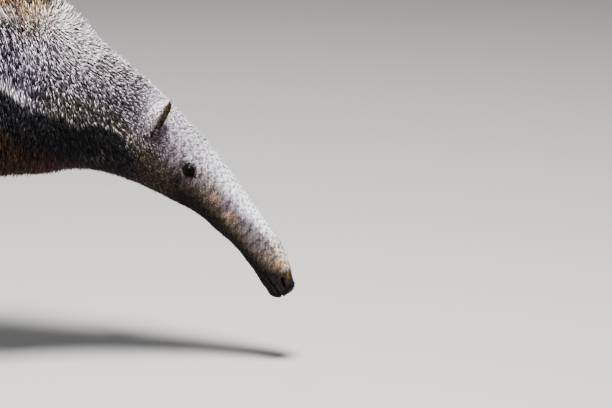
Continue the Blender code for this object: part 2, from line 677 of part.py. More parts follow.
def ear_sheet(side):
    """Points of the ear's cup, row by row from its root, and its tip."""
    mirror, turn = SIDES[side], EAR_TURN[side]
    root = head_point(EAR_ROOT, mirror)
    sheet = []
    for row in EAR:
        back_x, back_z = laid_back(*row.back, turn)
        edge_x, edge_z = laid_back(*row.edge, turn)
        for c in range(EAR_COLUMNS + 1):
            wrap = math.radians(EAR_WRAP) * (2 * c / EAR_COLUMNS - 1)
            ahead = 1 - math.cos(wrap)
            out = -mirror * (row.out + row.half_width * math.sin(wrap))
            at = Vector((back_x + (edge_x - back_x) * ahead, out, back_z + (edge_z - back_z) * ahead))
            sheet.append(root + at)
    tip_x, tip_z = laid_back(*EAR_TIP, turn)
    return sheet, root + Vector((tip_x, -mirror * EAR[-1].out, tip_z))


def ear_faces(count, wide):
    """Triangles of the cup's outer and inner walls, its rim, its root and its tip."""
    shift, tip = count * wide, count * wide * 2
    faces = []
    for r in range(count - 1):
        for c in range(wide - 1):
            a, b = r * wide + c, r * wide + c + 1
            d, e = a + wide, b + wide
            faces += [(a, b, e), (a, e, d)]
            faces += [(a + shift, e + shift, b + shift), (a + shift, d + shift, e + shift)]
        for c in (0, wide - 1):
            a = r * wide + c
            faces += [(a, a + wide, a + wide + shift), (a, a + wide + shift, a + shift)]
    top = (count - 1) * wide
    for c in range(wide - 1):
        faces += [(c, c + shift, c + 1 + shift), (c, c + 1 + shift, c + 1)]
        faces += [(top + c, top + c + 1, tip), (top + c + shift, tip, top + c + 1 + shift)]
    for c in (0, wide - 1):
        faces.append((top + c, tip, top + c + shift))
    return faces


def build_ear(side):
    """The cup of an ear: a curved leaf with a wall, closed round its root and its rim."""
    sheet, tip = ear_sheet(side)
    count, wide = len(EAR), EAR_COLUMNS + 1
    outer, inner = [], []
    for r in range(count):
        half_wall = EAR_WALL / 2 * (1 - EAR_THINNING * r / (count - 1))
        for c in range(wide):
            along = sheet[min(r + 1, count - 1) * wide + c] - sheet[max(r - 1, 0) * wide + c]
            across = sheet[r * wide + min(c + 1, wide - 1)] - sheet[r * wide + max(c - 1, 0)]
            normal = along.cross(across).normalized()
            outer.append(sheet[r * wide + c] + normal * half_wall)
            inner.append(sheet[r * wide + c] - normal * half_wall)
    return mesh_object(f"ear_{side}", outer + inner + [tip], ear_faces(count, wide))


def build_lid(side):
    """The ring of both lids round an eye: an almond with pointed ends, raised on the head."""
    mirror = SIDES[side]
    eye = head_point(EYE_AT, mirror)
    out = head_point(LID_FACING, mirror).normalized()
    ahead = Vector(LID_SLANT)
    ahead = (ahead - out * ahead.dot(out)).normalized()
    up = out.cross(ahead) * mirror
    middle = eye + out * EYE_RADIUS * LID_OUT
    points, faces = [], []
    around, tube = LID_SIDES
    for i in range(around):
        turn = 2 * math.pi * i / around
        way = ahead * math.cos(turn) * LID_RADII[0] + up * math.sin(turn) * LID_RADII[1]
        thick = LID_THICKNESS * (1 - 0.25 * abs(math.cos(turn)))
        for j in range(tube):
            twist = 2 * math.pi * j / tube
            rim = way.normalized() * thick * math.cos(twist) + out * thick * math.sin(twist)
            points.append(middle + way + rim)
    for i in range(around):
        for j in range(tube):
            a, b = i * tube + j, i * tube + (j + 1) % tube
            c, d = ((i + 1) % around) * tube + (j + 1) % tube, ((i + 1) % around) * tube + j
            faces += [(a, b, c), (a, c, d)]
    return mesh_object("lid", points, faces)


def mouth_cutter():
    """A thin wedge that opens the line of the mouth round the end of the snout."""
    back, front = Vector((MOUTH_BACK[0], 0, MOUTH_BACK[1])), Vector((MOUTH_FRONT[0], 0, MOUTH_FRONT[1]))
    way = (front - back).normalized()
    thick = Vector((-way.z, 0, way.x))
    corner, lips = thick * MOUTH_SLIT[0], thick * MOUTH_SLIT[1]
    corners = []
    for y in (-MOUTH_WIDE, MOUTH_WIDE):
        aside = Vector((0, y, 0))
        corners += [back + aside - corner, front + aside - lips, front + aside + lips, back + aside + corner]
    return block("mouth", corners)


def mane_core():
    """The ridge under the mane, which reaches about half way to the tips of its locks."""
    rows = smooth_rows(CREST)
    rings = []
    for k, (x, z) in enumerate(rows):
        share = k / (len(rows) - 1)
        width = CREST_HALF_WIDTH * (0.35 + 0.65 * math.sin(math.pi * min(1, share * 1.15)) ** 0.5)
        shoulder, down = width * CREST_SHOULDER[0], z - CREST_SHOULDER[1]
        low = z - CREST_DEPTH
        profile = [(width, low), (shoulder, down), (0, z), (-shoulder, down), (-width, low)]
        rings.append([Vector((x, y, height)) for y, height in profile])
    return closed_loft("mane_core", rings)


def tail_core():
    """The body of short hair round the tail's bones, under the long locks."""
    rows = smooth_rows(section_rows(TAIL_CORE))
    sides, squareness = TAIL_CORE_SIDES, TAIL_CORE_SQUARENESS
    end, cap = round_cap(rows[-1], rows[-2], TAIL_CORE_CAP, sides, squareness=squareness)
    rings = [section_ring(row, sides, squareness) for row in rows]
    return closed_loft("tail_core", rings + cap[::-1], None, end)


def trunk_point(sections, place, turn):
    """Point of a trunk's surface; place counts its sections, turn is 0 at the left side and 90 on top."""
    row = spline(section_rows(sections), [place])[0]
    back, belly = Vector((row[0], 0, row[1])), Vector((row[2], 0, row[3]))
    up, across = math.sin(math.radians(turn)), math.cos(math.radians(turn))
    side = Vector((0, row[4] * across * (1 - row[5] * up), 0))
    return (back + belly) / 2 + (back - belly) / 2 * up + side


def limb_point(rings, foot, mirror, place, turn):
    """Point of a limb's surface; turn is 0 ahead, 90 on the outer side and 180 behind."""
    row = spline([(*ring.at, ring.fore, ring.side) for ring in rings], [place])[0]
    t = math.radians(turn)
    return Vector((foot + row[0] + row[3] * math.cos(t), (row[1] - row[4] * math.sin(t)) * mirror, row[2]))


def frame_at(surface, place, turn):
    """A surface's point, its two slopes (for one section, for one degree) and its outward normal."""
    point = surface(place, turn)
    along = (surface(place + 0.04, turn) - surface(place - 0.04, turn)) / 0.08
    around = surface(place, turn + 2) - surface(place, turn - 2)
    middle = (surface(place, turn) + surface(place, turn + 180)) / 2
    normal = along.cross(around).normalized()
    if normal.dot(point - middle) < 0:
        normal = -normal
    return point, along, around / 4, normal


def lock_body(path, outs, width, twist):
    """A flat, tapered lock along a path, from its sunk root to its tip."""
    rings = []
    count = len(path) - 1
    for k in range(count):
        t = k / count
        way = (path[k + 1] - path[max(k - 1, 0)]).normalized()
        across = way.cross(outs[k]).normalized()
        thick = across.cross(way)
        turn = math.radians(twist)
        broad = across * math.cos(turn) + thick * math.sin(turn)
        thin = broad.cross(way)
        half = width / 2 * (LOCK_PROFILE[0] + LOCK_PROFILE[1] * t + LOCK_PROFILE[2] * t * t)
        deep = half * LOCK_THICKNESS * (LOCK_THINNING[0] + LOCK_THINNING[1] * t)
        wide, high = broad * half, thin * deep
        rings.append([path[k] + wide, path[k] + high, path[k] - wide, path[k] - high])
    return closed_loft("lock", rings, None, path[-1])


def free_lock(surface, place, turn, row, share, side):
    """A lock that leaves its root one way and bends to another."""
    point, _, _, out = frame_at(surface, place, turn)
    length = (row.length[0] + (row.length[1] - row.length[0]) * share) * random.uniform(0.88, 1.10)
    stray = [random.uniform(-0.09, 0.09) for _ in range(3)]
    leave = Vector((row.leave[0] + stray[0], (row.leave[1] + stray[1]) * side, row.leave[2])).normalized()
    end = Vector((row.end[0] + stray[2], (row.end[1] + stray[1]) * side, row.end[2])).normalized()
    start = point - (out * 0.75 + leave * 0.25).normalized() * LOCK_SUNK
    bend = point + leave * length * LOCK_BEND
    tip = bend + end * length * LOCK_RUN
    tip.z = max(tip.z, LOCK_CLEAR)
    path = bent_path(start, bend, tip, LOCK_RINGS + 1)
    twist = row.twist * side + random.uniform(-8, 8)
    return lock_body(path, [out] * len(path), row.width * random.uniform(0.9, 1.1), twist)


def draped_lock(surface, place, turn, row, share, down):
    """A lock that follows the surface and lifts off it towards its tip."""
    length = (row.length[0] + (row.length[1] - row.length[0]) * share) * random.uniform(0.9, 1.08)
    heading = math.radians(row.heading[0] + (row.heading[1] - row.heading[0]) * share + random.uniform(-6, 6))
    path, outs = [], []
    for k in range(LOCK_RINGS + 1):
        point, along, around, out = frame_at(surface, place, turn)
        t = k / LOCK_RINGS
        lift = row.lift * t**LOCK_RISE if k else -LOCK_SUNK
        path.append(point + out * lift)
        outs.append(out)
        step = length / LOCK_RINGS
        place += step * math.cos(heading) / along.length
        turn += down * step * math.sin(heading) / around.length
    return lock_body(path, outs, row.width * random.uniform(0.9, 1.1), random.uniform(-6, 6))


def row_of_locks(row, surface, make, extra, turn):
    """All locks of one row, spaced evenly with a little stray."""
    locks = []
    first, last = row.place
    for k in range(row.count):
        share = (k + 0.5) / row.count
        place = first + (last - first) * (share + random.uniform(-0.22, 0.22) / row.count)
        locks.append(make(surface, place, turn + random.uniform(-4, 4), row, share, extra))
    return locks


def trunk_locks(rows, sections):
    """Locks of several rows on a trunk, on both sides where a row asks for it."""
    locks = []

    def surface(place, turn):
        return trunk_point(sections, place, turn)

    for row in rows:
        draped = isinstance(row, DrapedRow)
        for side in (1, -1) if draped or row.both else (1,):
            turn = row.turn if side > 0 else 180 - row.turn
            make, extra = (draped_lock, -side) if draped else (free_lock, side)
            locks += row_of_locks(row, surface, make, extra, turn)
    return locks


def limb_locks(rows, rings, foot, mirror):
    """Locks of several rows on a limb."""

    def surface(place, turn):
        return limb_point(rings, foot, mirror, place, turn)

    return [one for row in rows for one in row_of_locks(row, surface, draped_lock, 1, row.turn)]


def finish_node(node, coat, holder):
    """One closed body with its own material, held by the model's empty."""
    keep_largest(node)
    node.data.materials.clear()
    node.data.materials.append(coat_material(coat))
    node.data.shade_smooth()
    node.data.set_sharp_from_angle(angle=math.radians(SMOOTH_UNDER))
    node.parent = holder


def part_legs(body):
    """Cuts the four legs off the body, each in its own region."""
    legs = {}
    for side in SIDES:
        for kind, rings in LIMBS.items():
            leg = copy_of(body, f"leg_{kind}_{side}")
            combine(leg, [leg_region(kind, side, rings, 0.0)], "INTERSECT", "MANIFOLD")
            combine(body, [leg_region(kind, side, rings, REGION_GAP)], "DIFFERENCE", "MANIFOLD")
            legs[leg.name] = keep_largest(leg)
    keep_largest(body)
    return legs


def build_body():
    """Head, neck, torso, tail and legs, by name, all without their locks."""
    head, body = build_trunk("head"), build_trunk("tail")
    combine(head, [half_space("side", *HEAD_CUT, True, GAP / 2)], "INTERSECT")
    combine(body, build_limb_bodies(), "UNION")
    melt(body)
    combine(body, [floor_block()], "DIFFERENCE")
    legs = part_legs(body)
    combine(body, [half_space("side", *HEAD_CUT, False, GAP / 2)], "INTERSECT")
    neck, body = part_by_plane(body, "neck", NECK_CUT)
    torso, tail = part_by_plane(body, "torso", TAIL_CUT)
    return {"head": head, "neck": neck, "torso": torso, "tail": tail, **legs}


def add_locks(nodes):
    """Joins the cores and the locks of long hair to the nodes that they grow from."""
    torso, tail = nodes["torso"], nodes["tail"]
    combine(torso, [mane_core()], "UNION")
    combine(torso, [half_space("side", *NECK_CUT, False, GAP / 2)], "INTERSECT")
    combine(torso, [half_space("side", *TAIL_CUT, True, GAP / 2)], "INTERSECT")
    combine(tail, [tail_core()], "UNION")
    combine(tail, [half_space("side", *TAIL_CUT, False, GAP / 2)], "INTERSECT")
    combine(torso, trunk_locks(BACK_LOCKS + FLANK_LOCKS, TRUNK), "UNION", "MANIFOLD")
    combine(nodes["neck"], trunk_locks(NECK_LOCKS, TRUNK), "UNION", "MANIFOLD")
    combine(tail, trunk_locks(TAIL_LOCKS, TAIL_CORE), "UNION", "MANIFOLD")
    for side, mirror in SIDES.items():
        for kind, rows in LIMB_LOCKS.items():
            locks = limb_locks(rows, LIMBS[kind], FOOT_X[kind][side], mirror)
            combine(nodes[f"leg_{kind}_{side}"], locks, "UNION", "MANIFOLD")


def add_face(head, holder):
    """Lids, nostrils, mouth, and the seats of the eyes and the ears, which are nodes of their own."""
    for side, mirror in SIDES.items():
        eye = ball(f"eye_{side}", head_point(EYE_AT, mirror), (EYE_RADIUS,) * 3, 12, 6)
        ear = build_ear(side)
        combine(head, [build_lid(side)], "UNION", "MANIFOLD")
        nostril = [head_point(point, mirror) for point in NOSTRIL]
        combine(head, [tapered_tube("nostril", nostril, NOSTRIL_RADII, 8)], "DIFFERENCE")
        combine(head, [grown(eye), grown(ear)], "DIFFERENCE", "MANIFOLD")
        finish_node(eye, "eye", holder)
        finish_node(ear, "ear", holder)
    combine(head, [mouth_cutter()], "DIFFERENCE")


def main():
    clear_scene()
    random.seed(SEED)
    holder = bpy.data.objects.new("anteater", None)
    bpy.context.scene.collection.objects.link(holder)
    nodes = build_body()
    add_face(nodes["head"], holder)
    add_locks(nodes)
    for claw, leg in build_claws():
        combine(nodes[leg], [grown(claw)], "DIFFERENCE")
        finish_node(claw, "claw", holder)
    for name, node in nodes.items():
        finish_node(node, name.split("_")[1] + "_leg" if name.startswith("leg") else name, holder)


main()
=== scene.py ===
"""Looks of the giant anteater: skin, coat, long hair, eyes, ears and claws round its solid model."""

import math
from collections import namedtuple

import bmesh
import bpy
import numpy as np
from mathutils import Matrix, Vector
from mathutils.bvhtree import BVHTree
from mathutils.kdtree import KDTree


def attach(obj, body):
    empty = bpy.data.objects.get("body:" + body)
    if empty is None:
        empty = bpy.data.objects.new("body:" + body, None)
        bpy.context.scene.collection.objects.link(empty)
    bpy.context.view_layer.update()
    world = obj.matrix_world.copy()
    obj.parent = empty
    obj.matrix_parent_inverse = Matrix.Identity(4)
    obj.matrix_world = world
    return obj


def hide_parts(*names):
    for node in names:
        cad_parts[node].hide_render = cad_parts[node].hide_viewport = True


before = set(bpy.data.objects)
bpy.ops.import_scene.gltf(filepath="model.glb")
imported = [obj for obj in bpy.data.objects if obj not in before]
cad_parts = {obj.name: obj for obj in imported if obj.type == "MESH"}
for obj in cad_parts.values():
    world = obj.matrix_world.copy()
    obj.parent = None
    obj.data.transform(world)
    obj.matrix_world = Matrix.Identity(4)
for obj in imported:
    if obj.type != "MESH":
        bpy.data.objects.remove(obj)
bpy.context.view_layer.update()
rng = np.random.default_rng(7)

LOCATED_AT_ONCE = 20000  # points whose station is looked for together

# Trunk: back and belly points in the X-Z plane, half-width, narrowing to the back, and the coat's depth.
Section = namedtuple("Section", "back belly half_width lean depth")
TRUNK = [
    Section((0.972, 0.139), (0.930, 0.122), 0.0215, 0.00, 0.0006),  # lips
    Section((0.967, 0.159), (0.920, 0.135), 0.0240, 0.00, 0.0008),
    Section((0.952, 0.192), (0.902, 0.160), 0.0270, 0.00, 0.0010),
    Section((0.932, 0.223), (0.880, 0.187), 0.0300, 0.02, 0.0010),
    Section((0.907, 0.259), (0.853, 0.212), 0.0345, 0.03, 0.0012),
    Section((0.876, 0.305), (0.824, 0.237), 0.0410, 0.04, 0.0014),  # bridge of the snout
    Section((0.846, 0.346), (0.787, 0.257), 0.0490, 0.05, 0.0018),  # eyes
    Section((0.816, 0.380), (0.754, 0.274), 0.0570, 0.05, 0.0024),
    Section((0.785, 0.412), (0.722, 0.288), 0.0640, 0.04, 0.0034),  # ears
    Section((0.755, 0.443), (0.690, 0.299), 0.0700, 0.04, 0.0050),
    Section((0.722, 0.471), (0.660, 0.303), 0.0770, 0.05, 0.0070),  # nape
    Section((0.682, 0.506), (0.625, 0.302), 0.0860, 0.07, 0.0085),
    Section((0.638, 0.545), (0.585, 0.294), 0.0970, 0.09, 0.0100),
    Section((0.588, 0.583), (0.540, 0.292), 0.1100, 0.11, 0.0110),
    Section((0.525, 0.608), (0.485, 0.283), 0.1260, 0.13, 0.0120),  # shoulders
    Section((0.440, 0.618), (0.415, 0.266), 0.1380, 0.14, 0.0130),
    Section((0.330, 0.616), (0.325, 0.262), 0.1440, 0.14, 0.0140),
    Section((0.200, 0.608), (0.200, 0.264), 0.1470, 0.13, 0.0150),
    Section((0.060, 0.598), (0.070, 0.274), 0.1480, 0.12, 0.0160),
    Section((-0.070, 0.580), (-0.045, 0.293), 0.1400, 0.10, 0.0160),
    Section((-0.170, 0.543), (-0.130, 0.325), 0.1160, 0.08, 0.0150),  # rump
    Section((-0.245, 0.496), (-0.205, 0.350), 0.0820, 0.05, 0.0120),
    Section((-0.310, 0.458), (-0.280, 0.352), 0.0560, 0.02, 0.0080),  # root of the tail
    Section((-0.400, 0.428), (-0.385, 0.344), 0.0410, 0.00, 0.0060),
    Section((-0.550, 0.396), (-0.545, 0.330), 0.0310, 0.00, 0.0040),
    Section((-0.700, 0.370), (-0.700, 0.318), 0.0230, 0.00, 0.0030),
    Section((-0.840, 0.348), (-0.840, 0.316), 0.0140, 0.00, 0.0020),
]
SNOUT_CAP = 0.021
SNOUT_BLUNTNESS = 1.5
TAIL_CAP = 0.018
SQUARENESS = 2.15
LAST = len(TRUNK) - 1

Ring = namedtuple("Ring", "at fore side")
FORE_LEG = [
    Ring((0.024, -0.060, 0.500), 0.070, 0.044),
    Ring((0.020, -0.082, 0.430), 0.088, 0.056),
    Ring((0.006, -0.098, 0.350), 0.086, 0.058),
    Ring((-0.012, -0.108, 0.275), 0.074, 0.054),  # elbow
    Ring((-0.010, -0.112, 0.205), 0.062, 0.050),
    Ring((-0.002, -0.113, 0.135), 0.053, 0.046),
    Ring((0.006, -0.112, 0.088), 0.050, 0.045),  # wrist
    Ring((0.014, -0.111, 0.048), 0.055, 0.048),  # hand
    Ring((0.018, -0.110, 0.018), 0.053, 0.045),
    Ring((0.018, -0.110, -0.012), 0.046, 0.039),
]
HIND_LEG = [
    Ring((0.050, -0.050, 0.490), 0.080, 0.046),
    Ring((0.055, -0.080, 0.410), 0.108, 0.062),
    Ring((0.066, -0.098, 0.330), 0.102, 0.061),  # knee
    Ring((0.050, -0.106, 0.250), 0.080, 0.053),
    Ring((0.020, -0.108, 0.175), 0.061, 0.046),
    Ring((-0.002, -0.108, 0.110), 0.050, 0.040),  # hock
    Ring((-0.004, -0.108, 0.060), 0.045, 0.037),
    Ring((0.000, -0.108, 0.026), 0.036, 0.032),
]
HIND_FOOT = [
    Ring((-0.052, -0.108, 0.022), 0.012, 0.014),
    Ring((-0.040, -0.108, 0.024), 0.026, 0.027),
    Ring((-0.010, -0.109, 0.026), 0.033, 0.035),
    Ring((0.035, -0.111, 0.022), 0.029, 0.039),
    Ring((0.075, -0.113, 0.018), 0.022, 0.041),
    Ring((0.105, -0.114, 0.014), 0.017, 0.037),
    Ring((0.120, -0.114, 0.012), 0.009, 0.026),
]
LIMBS = {"fore": FORE_LEG, "hind": HIND_LEG, "foot": HIND_FOOT}
FOOT_X = {
    "fore": {"right": 0.405, "left": 0.348},
    "hind": {"right": -0.150, "left": -0.068},
    "foot": {"right": -0.150, "left": -0.068},
}
SIDES = {"right": 1, "left": -1}  # Y of the right side's values times this

LEG_COAT = (0.002, 0.007)  # depth of the coat at the foot and at the thigh
LEG_COAT_LEVELS = (0.03, 0.250)  # heights between which it deepens
LEAST_RADIUS = 0.002
LIMB_GRID = {"fore": (100, 48), "hind": (100, 48), "foot": (40, 48)}  # rows and columns of the limbs' skin
FORE_DIGITS = [  # at, from the hand's centre; radius; claw's length and thickness
    ((0.030, 0.034, 0.018), 0.0140, 0.030, 0.0046),
    ((0.042, 0.018, 0.004), 0.0175, 0.066, 0.0074),
    ((0.046, -0.002, -0.018), 0.0200, 0.080, 0.0090),
    ((0.042, -0.026, -0.026), 0.0155, 0.028, 0.0046),
]
HAND_AT = (0.014, -0.111, 0.044)
DIGIT_LENGTH = 1.25
CLAW_ROOT = (0.75, 0.35)  # ahead and outwards, as shares of the digit's radius
CLAW_BEND = (0.38, 0.38)  # ahead and outwards from the root, as shares of the claw's length
CLAW_TIP = (-0.14, 0.80)
CLAW_DROP = 0.010
CLAW_CLEAR = 0.006
CLAW_FLATNESS = 0.72
TOE_AT = (0.114, -0.114)
TOE_RADII = (1.50, 0.86, 1.00)
TOE_RADIUS = 0.0105
TOE_FAN = 0.030
TOE_CURVE = 0.016
TOE_SPLAY = 0.35
HIND_TOES = 5
HIND_CLAW = (0.026, 0.0040)  # length and thickness
HIND_CLAW_CLEAR = 0.0035
SKIN_LOWEST = 0.0002

# Fineness of the skin, and the softening where limbs and trunk meet
HEAD_END = 10
HEAD_SPACING = 0.0014
BODY_SPACING = 0.0050
TRUNK_COLUMNS = 160
NOSE_RINGS = 22
SMALLEST_RING = 0.06  # share of the first section's size
TAIL_RINGS = 5
TAIL_CAP_END = 0.95
STATIONS_RUN = 400  # stations along which the trunk's length is added up
STATIONS_TRIED = 260  # stations among which a point's own is looked for
STATIONS_AHEAD = 0.4  # how far they reach ahead of the first section
CREASE_ANGLE = 0.30
CREASE_REACH = 0.045
CREASE_REACH_LOW = 0.35  # share of that reach near the floor
CREASE_LOW = 0.10
CREASE_FRONT = 0.55  # no crease is looked for ahead of here
CREASE_FLOOR = 0.004
CREASE_ROUNDS = 60

# Head
EYE_AT = (0.8163, 0.0425, 0.3102)
EYE_RADIUS = 0.0100
LID_FACING = (0.10, 1.0, 0.16)
LID_SLANT = (0.72, 0.0, -0.69)
EYE_OPENING = (0.0074, 0.0058, 0.0052)  # half-length, height above and depth below
EYE_GRID = (40, 48)  # rows and columns of the ball
EYE_DETAIL = 0.030
EYE_SKIN_REACH = 0.034
LID_GAP = 0.0004
LID_SWELL = 0.0011
SOCKET_DEPTH = 0.0025
EYE_FOLDS = [  # height, ring round the eye, its width, and the levels above the slit where it sets in
    (-0.0011, 1.62, 0.16, (-0.001, 0.003)),  # above the lid
    (0.0022, 2.35, 0.45, (0.002, 0.007)),  # brow
    (-0.0006, 1.75, 0.22, (-0.001, -0.004)),  # below the eye
]
EYE_RIM = (0.0098, 0.0084)  # half-length and half-height of the dark rim
EYE_RIM_DROP = 0.0008
EYE_BESIDE = -0.004  # points further out than this lie beside the eye
EYE_BARE = (0.0110, 0.0092)  # half-length and half-height of the part without hair
EYE_BARE_DROP = 0.0004
EYE_WET = (0.0085, 0.0062)
EarRow = namedtuple("EarRow", "back edge half_width out")
EAR = [
    EarRow((-0.003, -0.007), (0.004, -0.005), 0.0060, -0.003),
    EarRow((-0.004, 0.005), (0.006, 0.006), 0.0084, 0.001),
    EarRow((-0.003, 0.020), (0.012, 0.016), 0.0110, 0.004),
    EarRow((0.002, 0.038), (0.020, 0.032), 0.0125, 0.007),
    EarRow((0.012, 0.051), (0.027, 0.046), 0.0095, 0.009),
    EarRow((0.025, 0.055), (0.0305, 0.053), 0.0045, 0.010),
]
EAR_ROOT = (0.7570, 0.0575, 0.3640)
EAR_TURN = {"right": 0.0, "left": 48.0}
EAR_WALL = 0.0020
EAR_WRAP = 96.0
EAR_TIP = (0.0320, 0.0565)
EAR_OPENING = 9.5  # degrees that the cup opens outwards
EAR_WIDENING = 1.12
EAR_GRID = (30, 26)  # rows and columns of the fine cup
EAR_HAIRS = 5200
EAR_HAIR_LENGTH = 0.0062
EAR_HAIR_WIDTH = 0.0013
NOSTRIL = [(0.9558, 0, 0.1372), (0.9574, 0, 0.1300), (0.9594, 0, 0.1232)]  # its line as seen from the side
NOSE_PAD = (0.9740, 0.0, 0.1195)
NOSE_PAD_SIZE = (0.0105, 0.0300, 0.0120)
SNOUT_END = (0.955, 0.0, 0.135)
SNOUT_DETAIL = 0.060
LIPS_DROP = 0.0036  # how far the snout's end is lowered to meet the photo
NOSTRIL_DEPTH = 0.0046
NOSTRIL_WIDTH = (0.0015, 0.0018)  # at its upper and lower end
NOSTRIL_RIM = (0.0007, 0.0038, 0.0014)  # height, distance from the nostril's line and width
MOUTH_GROOVE = (0.0026, 0.0010)  # depth and width
MOUTH_LIPS = (0.0008, 0.0034, 0.0018)  # height, distance from the groove and width
NOSE_FURROW = (0.0010, 0.0016)
PAD_GRAIN = (0.0006, 0.0036)  # height and scale
COARSE_GRAIN = (0.0006, 0.030)
FINE_GRAIN = (0.00022, 0.011)
MOUTH_BACK = (0.9310, 0.0, 0.1420)
MOUTH_FRONT = (0.9698, 0.0, 0.0871)
DETAIL_ROUNDS = 2

# Camera: the photo's view of the right side, a little from above.
CAMERA_TARGET = (0.992, 0.0, 0.2495)
CAMERA_DISTANCE = 4.5
CAMERA_ELEVATION = 12.0
CAMERA_LENS = 174.0
SIGHT_SLOPE = 0.2126  # rise that keeps a point's height in the picture, for each metre nearer the camera
LAMPS = [  # name, place, size, power and colour
    ("key", (1.0, -1.2, 3.6), 1.0, 1120, (1.0, 0.98, 0.97)),
    ("fill", (-2.6, -3.2, 1.8), 2.5, 30, (0.92, 0.95, 1.0)),
    ("rim", (0.2, 3.0, 2.6), 2.0, 60, (1.0, 0.98, 0.96)),
]
LAMPS_AIM = (0.3, 0, 0.3)
SKY = (0.80, 0.86, 0.95, 1)
SKY_STRENGTH = 0.30
FLOOR_HALF = 30

# Markings and painted shade: lines and spots are placed by X and by the height in the picture.
BAND_TOP = [
    (0.780, 0.285), (0.724, 0.339), (0.703, 0.354), (0.677, 0.3660), (0.644, 0.375),
    (0.610, 0.3845), (0.584, 0.391), (0.555, 0.4135), (0.525, 0.4370), (0.100, 0.560),
]
BAND_BOTTOM = [(0.470, 0.300), (0.080, 0.545)]
BORDER_WIDTH = 0.016
SNOUT_FOLD_SHADE = [(0.896, 0.238), (0.9233, 0.2013), (0.9355, 0.1874), (0.9469, 0.1667)]  # painted shade along a soft fold of the snout
Spot = namedtuple("Spot", "at size")
PALE_SPOTS = [(0.12, Spot((0.668, 0.478), (0.034, 0.022))), (0.09, Spot((0.722, 0.430), (0.030, 0.026)))]
TAN_CREST = Spot((0.586, 0.550), (0.024, 0.034))
TAN_SHOULDER = Spot((0.542, 0.566), (0.042, 0.027))
CREAM = Spot((0.624, 0.530), (0.028, 0.024))
BEHIND_EAR = Spot((0.722, 0.394), (0.036, 0.034))
BAND_SHINE = Spot((0.682, 0.318), (0.024, 0.008))
CHEEK = Spot((4.5, 0.00), (0.56, 0.26))  # by station and level of the section
LIP = Spot((0.9530, 0.1560), (0.0060, 0.0075))
NOSTRIL_EDGE = Spot((0.9650, 0.1405), (0.0038, 0.0080))
HOLLOW_SHADOW = Spot((0.7990, 0.2865), (0.0072, 0.0092))  # painted shadow in the hollow behind and below the eye
FACE_MARKS = [  # colour, strength and spot
    ("9c8672", 0.40, Spot((0.8360, 0.2960), (0.0110, 0.0080))),
    # painted shadow in the hollow behind the eye
    ("100e0c", 0.95, HOLLOW_SHADOW),
    ("9a8e88", 0.55, Spot((0.8150, 0.2850), (0.0075, 0.0050))),
    ("241a14", 0.70, Spot((0.8160, 0.2700), (0.0110, 0.0070))),
    ("cdbda8", 0.50, Spot((0.8500, 0.2830), (0.0110, 0.0060))),
    # painted shade in the crease below the ear
    ("241010", 0.85, Spot((0.7510, 0.3505), (0.0060, 0.0055))),
    ("fbf4f8", 0.60, Spot((0.8205, 0.3215), (0.0032, 0.0034))),
    # painted shade in the crease beside the brow
    ("5c4852", 0.70, Spot((0.8285, 0.3190), (0.0036, 0.0030))),
]
FACE_SHADE_BELOW = [  # painted shade under the head, darker downwards: colour, and the levels of the section between which it sets in
    ("5a4c40", 0.14, -0.30),
    ("2a2018", -0.22, -0.52),
    ("171210", -0.46, -0.80),
]

# Coat: the hair of neck and shoulders runs away from a line between two points, given for the left side.
WHORL = (0.608, 0.048, 0.537)
WHORL_BACK = (0.420, 0.106, 0.584)
WHORL_LEAN = 0.22  # how much the hair below that line leans forwards
PARTING_WIDTH = 0.014
PARTING_RUFFLE = 0.8
HANGING = (1.10, Spot((0.705, 0.440), (0.034, 0.024)))  # where the neck's hair turns more downwards
SWEPT = (0.60, Spot((0.632, 0.470), (0.028, 0.030)))  # where it turns more forwards
SETTLE_REACH = 0.010
HEAD_HAIRS = 380000  # for each square metre
BODY_LIFT = 0.24
LEG_LIFT = 0.24
LEG_FLOW = (-0.25, 0, -1.0)
FOOT_FLOW = (1.0, 0, -0.35)
LEG_COAT_GRID = (60, 40)
SWAY_SCALE = 0.045  # size of the areas whose hair strays the same way
LENGTH_SPREAD = (0.72, 1.15)
WIDTH_SPREAD = (0.7, 1.3)
HAIR_LOWEST = 0.0015
PATCH = 0.003  # size of a tuft's place in the bake map
CLUMPING = 0.62  # how far dark and pale tufts keep to their own clumps
LIFTS = [0.6, 0.9, 1.2, 1.6, 2.2]  # shares of the coat's lift that tufts take
TailRow = namedtuple("TailRow", "turn length leave end")  # ahead, out and up, at the hair's root and tip
TAIL_HAIR = [
    TailRow(90, 0.200, (-0.80, 0.00, 0.60), (-0.96, 0.00, -0.28)),
    TailRow(48, 0.250, (-0.80, 0.42, 0.20), (-0.66, 0.00, -0.74)),
    TailRow(2, 0.290, (-0.70, 0.50, -0.40), (-0.46, -0.04, -0.88)),
    TailRow(-48, 0.275, (-0.62, 0.34, -0.70), (-0.38, -0.05, -0.93)),
    TailRow(-90, 0.250, (-0.60, 0.00, -0.80), (-0.42, 0.00, -0.90)),
]
ManeRow = namedtuple("ManeRow", "x length leave end")  # ahead and up
MANE_HAIR = [
    ManeRow(0.68, 0.009, (0.70, 0.70), (0.80, 0.55)),
    ManeRow(0.64, 0.018, (0.50, 0.85), (0.62, 0.78)),
    ManeRow(0.60, 0.034, (0.15, 0.98), (0.20, 0.97)),
    ManeRow(0.55, 0.055, (-0.35, 0.93), (-0.60, 0.80)),
    ManeRow(0.48, 0.080, (-0.70, 0.70), (-0.95, 0.25)),
    ManeRow(0.20, 0.115, (-0.76, 0.65), (-0.98, 0.10)),
    ManeRow(-0.08, 0.145, (-0.80, 0.60), (-0.97, -0.10)),
    ManeRow(-0.24, 0.150, (-0.84, 0.54), (-0.92, -0.38)),
]
TAIL_TIP_WAY = (-0.84, 0, -0.50)
MANE_ARC = (36, 144)


def rgb(text):
    """Linear colour of a hexadecimal one."""
    values = np.array([int(text[k : k + 2], 16) / 255 for k in (0, 2, 4)])
    return np.where(values <= 0.04045, values / 12.92, ((values + 0.055) / 1.055) ** 2.4)


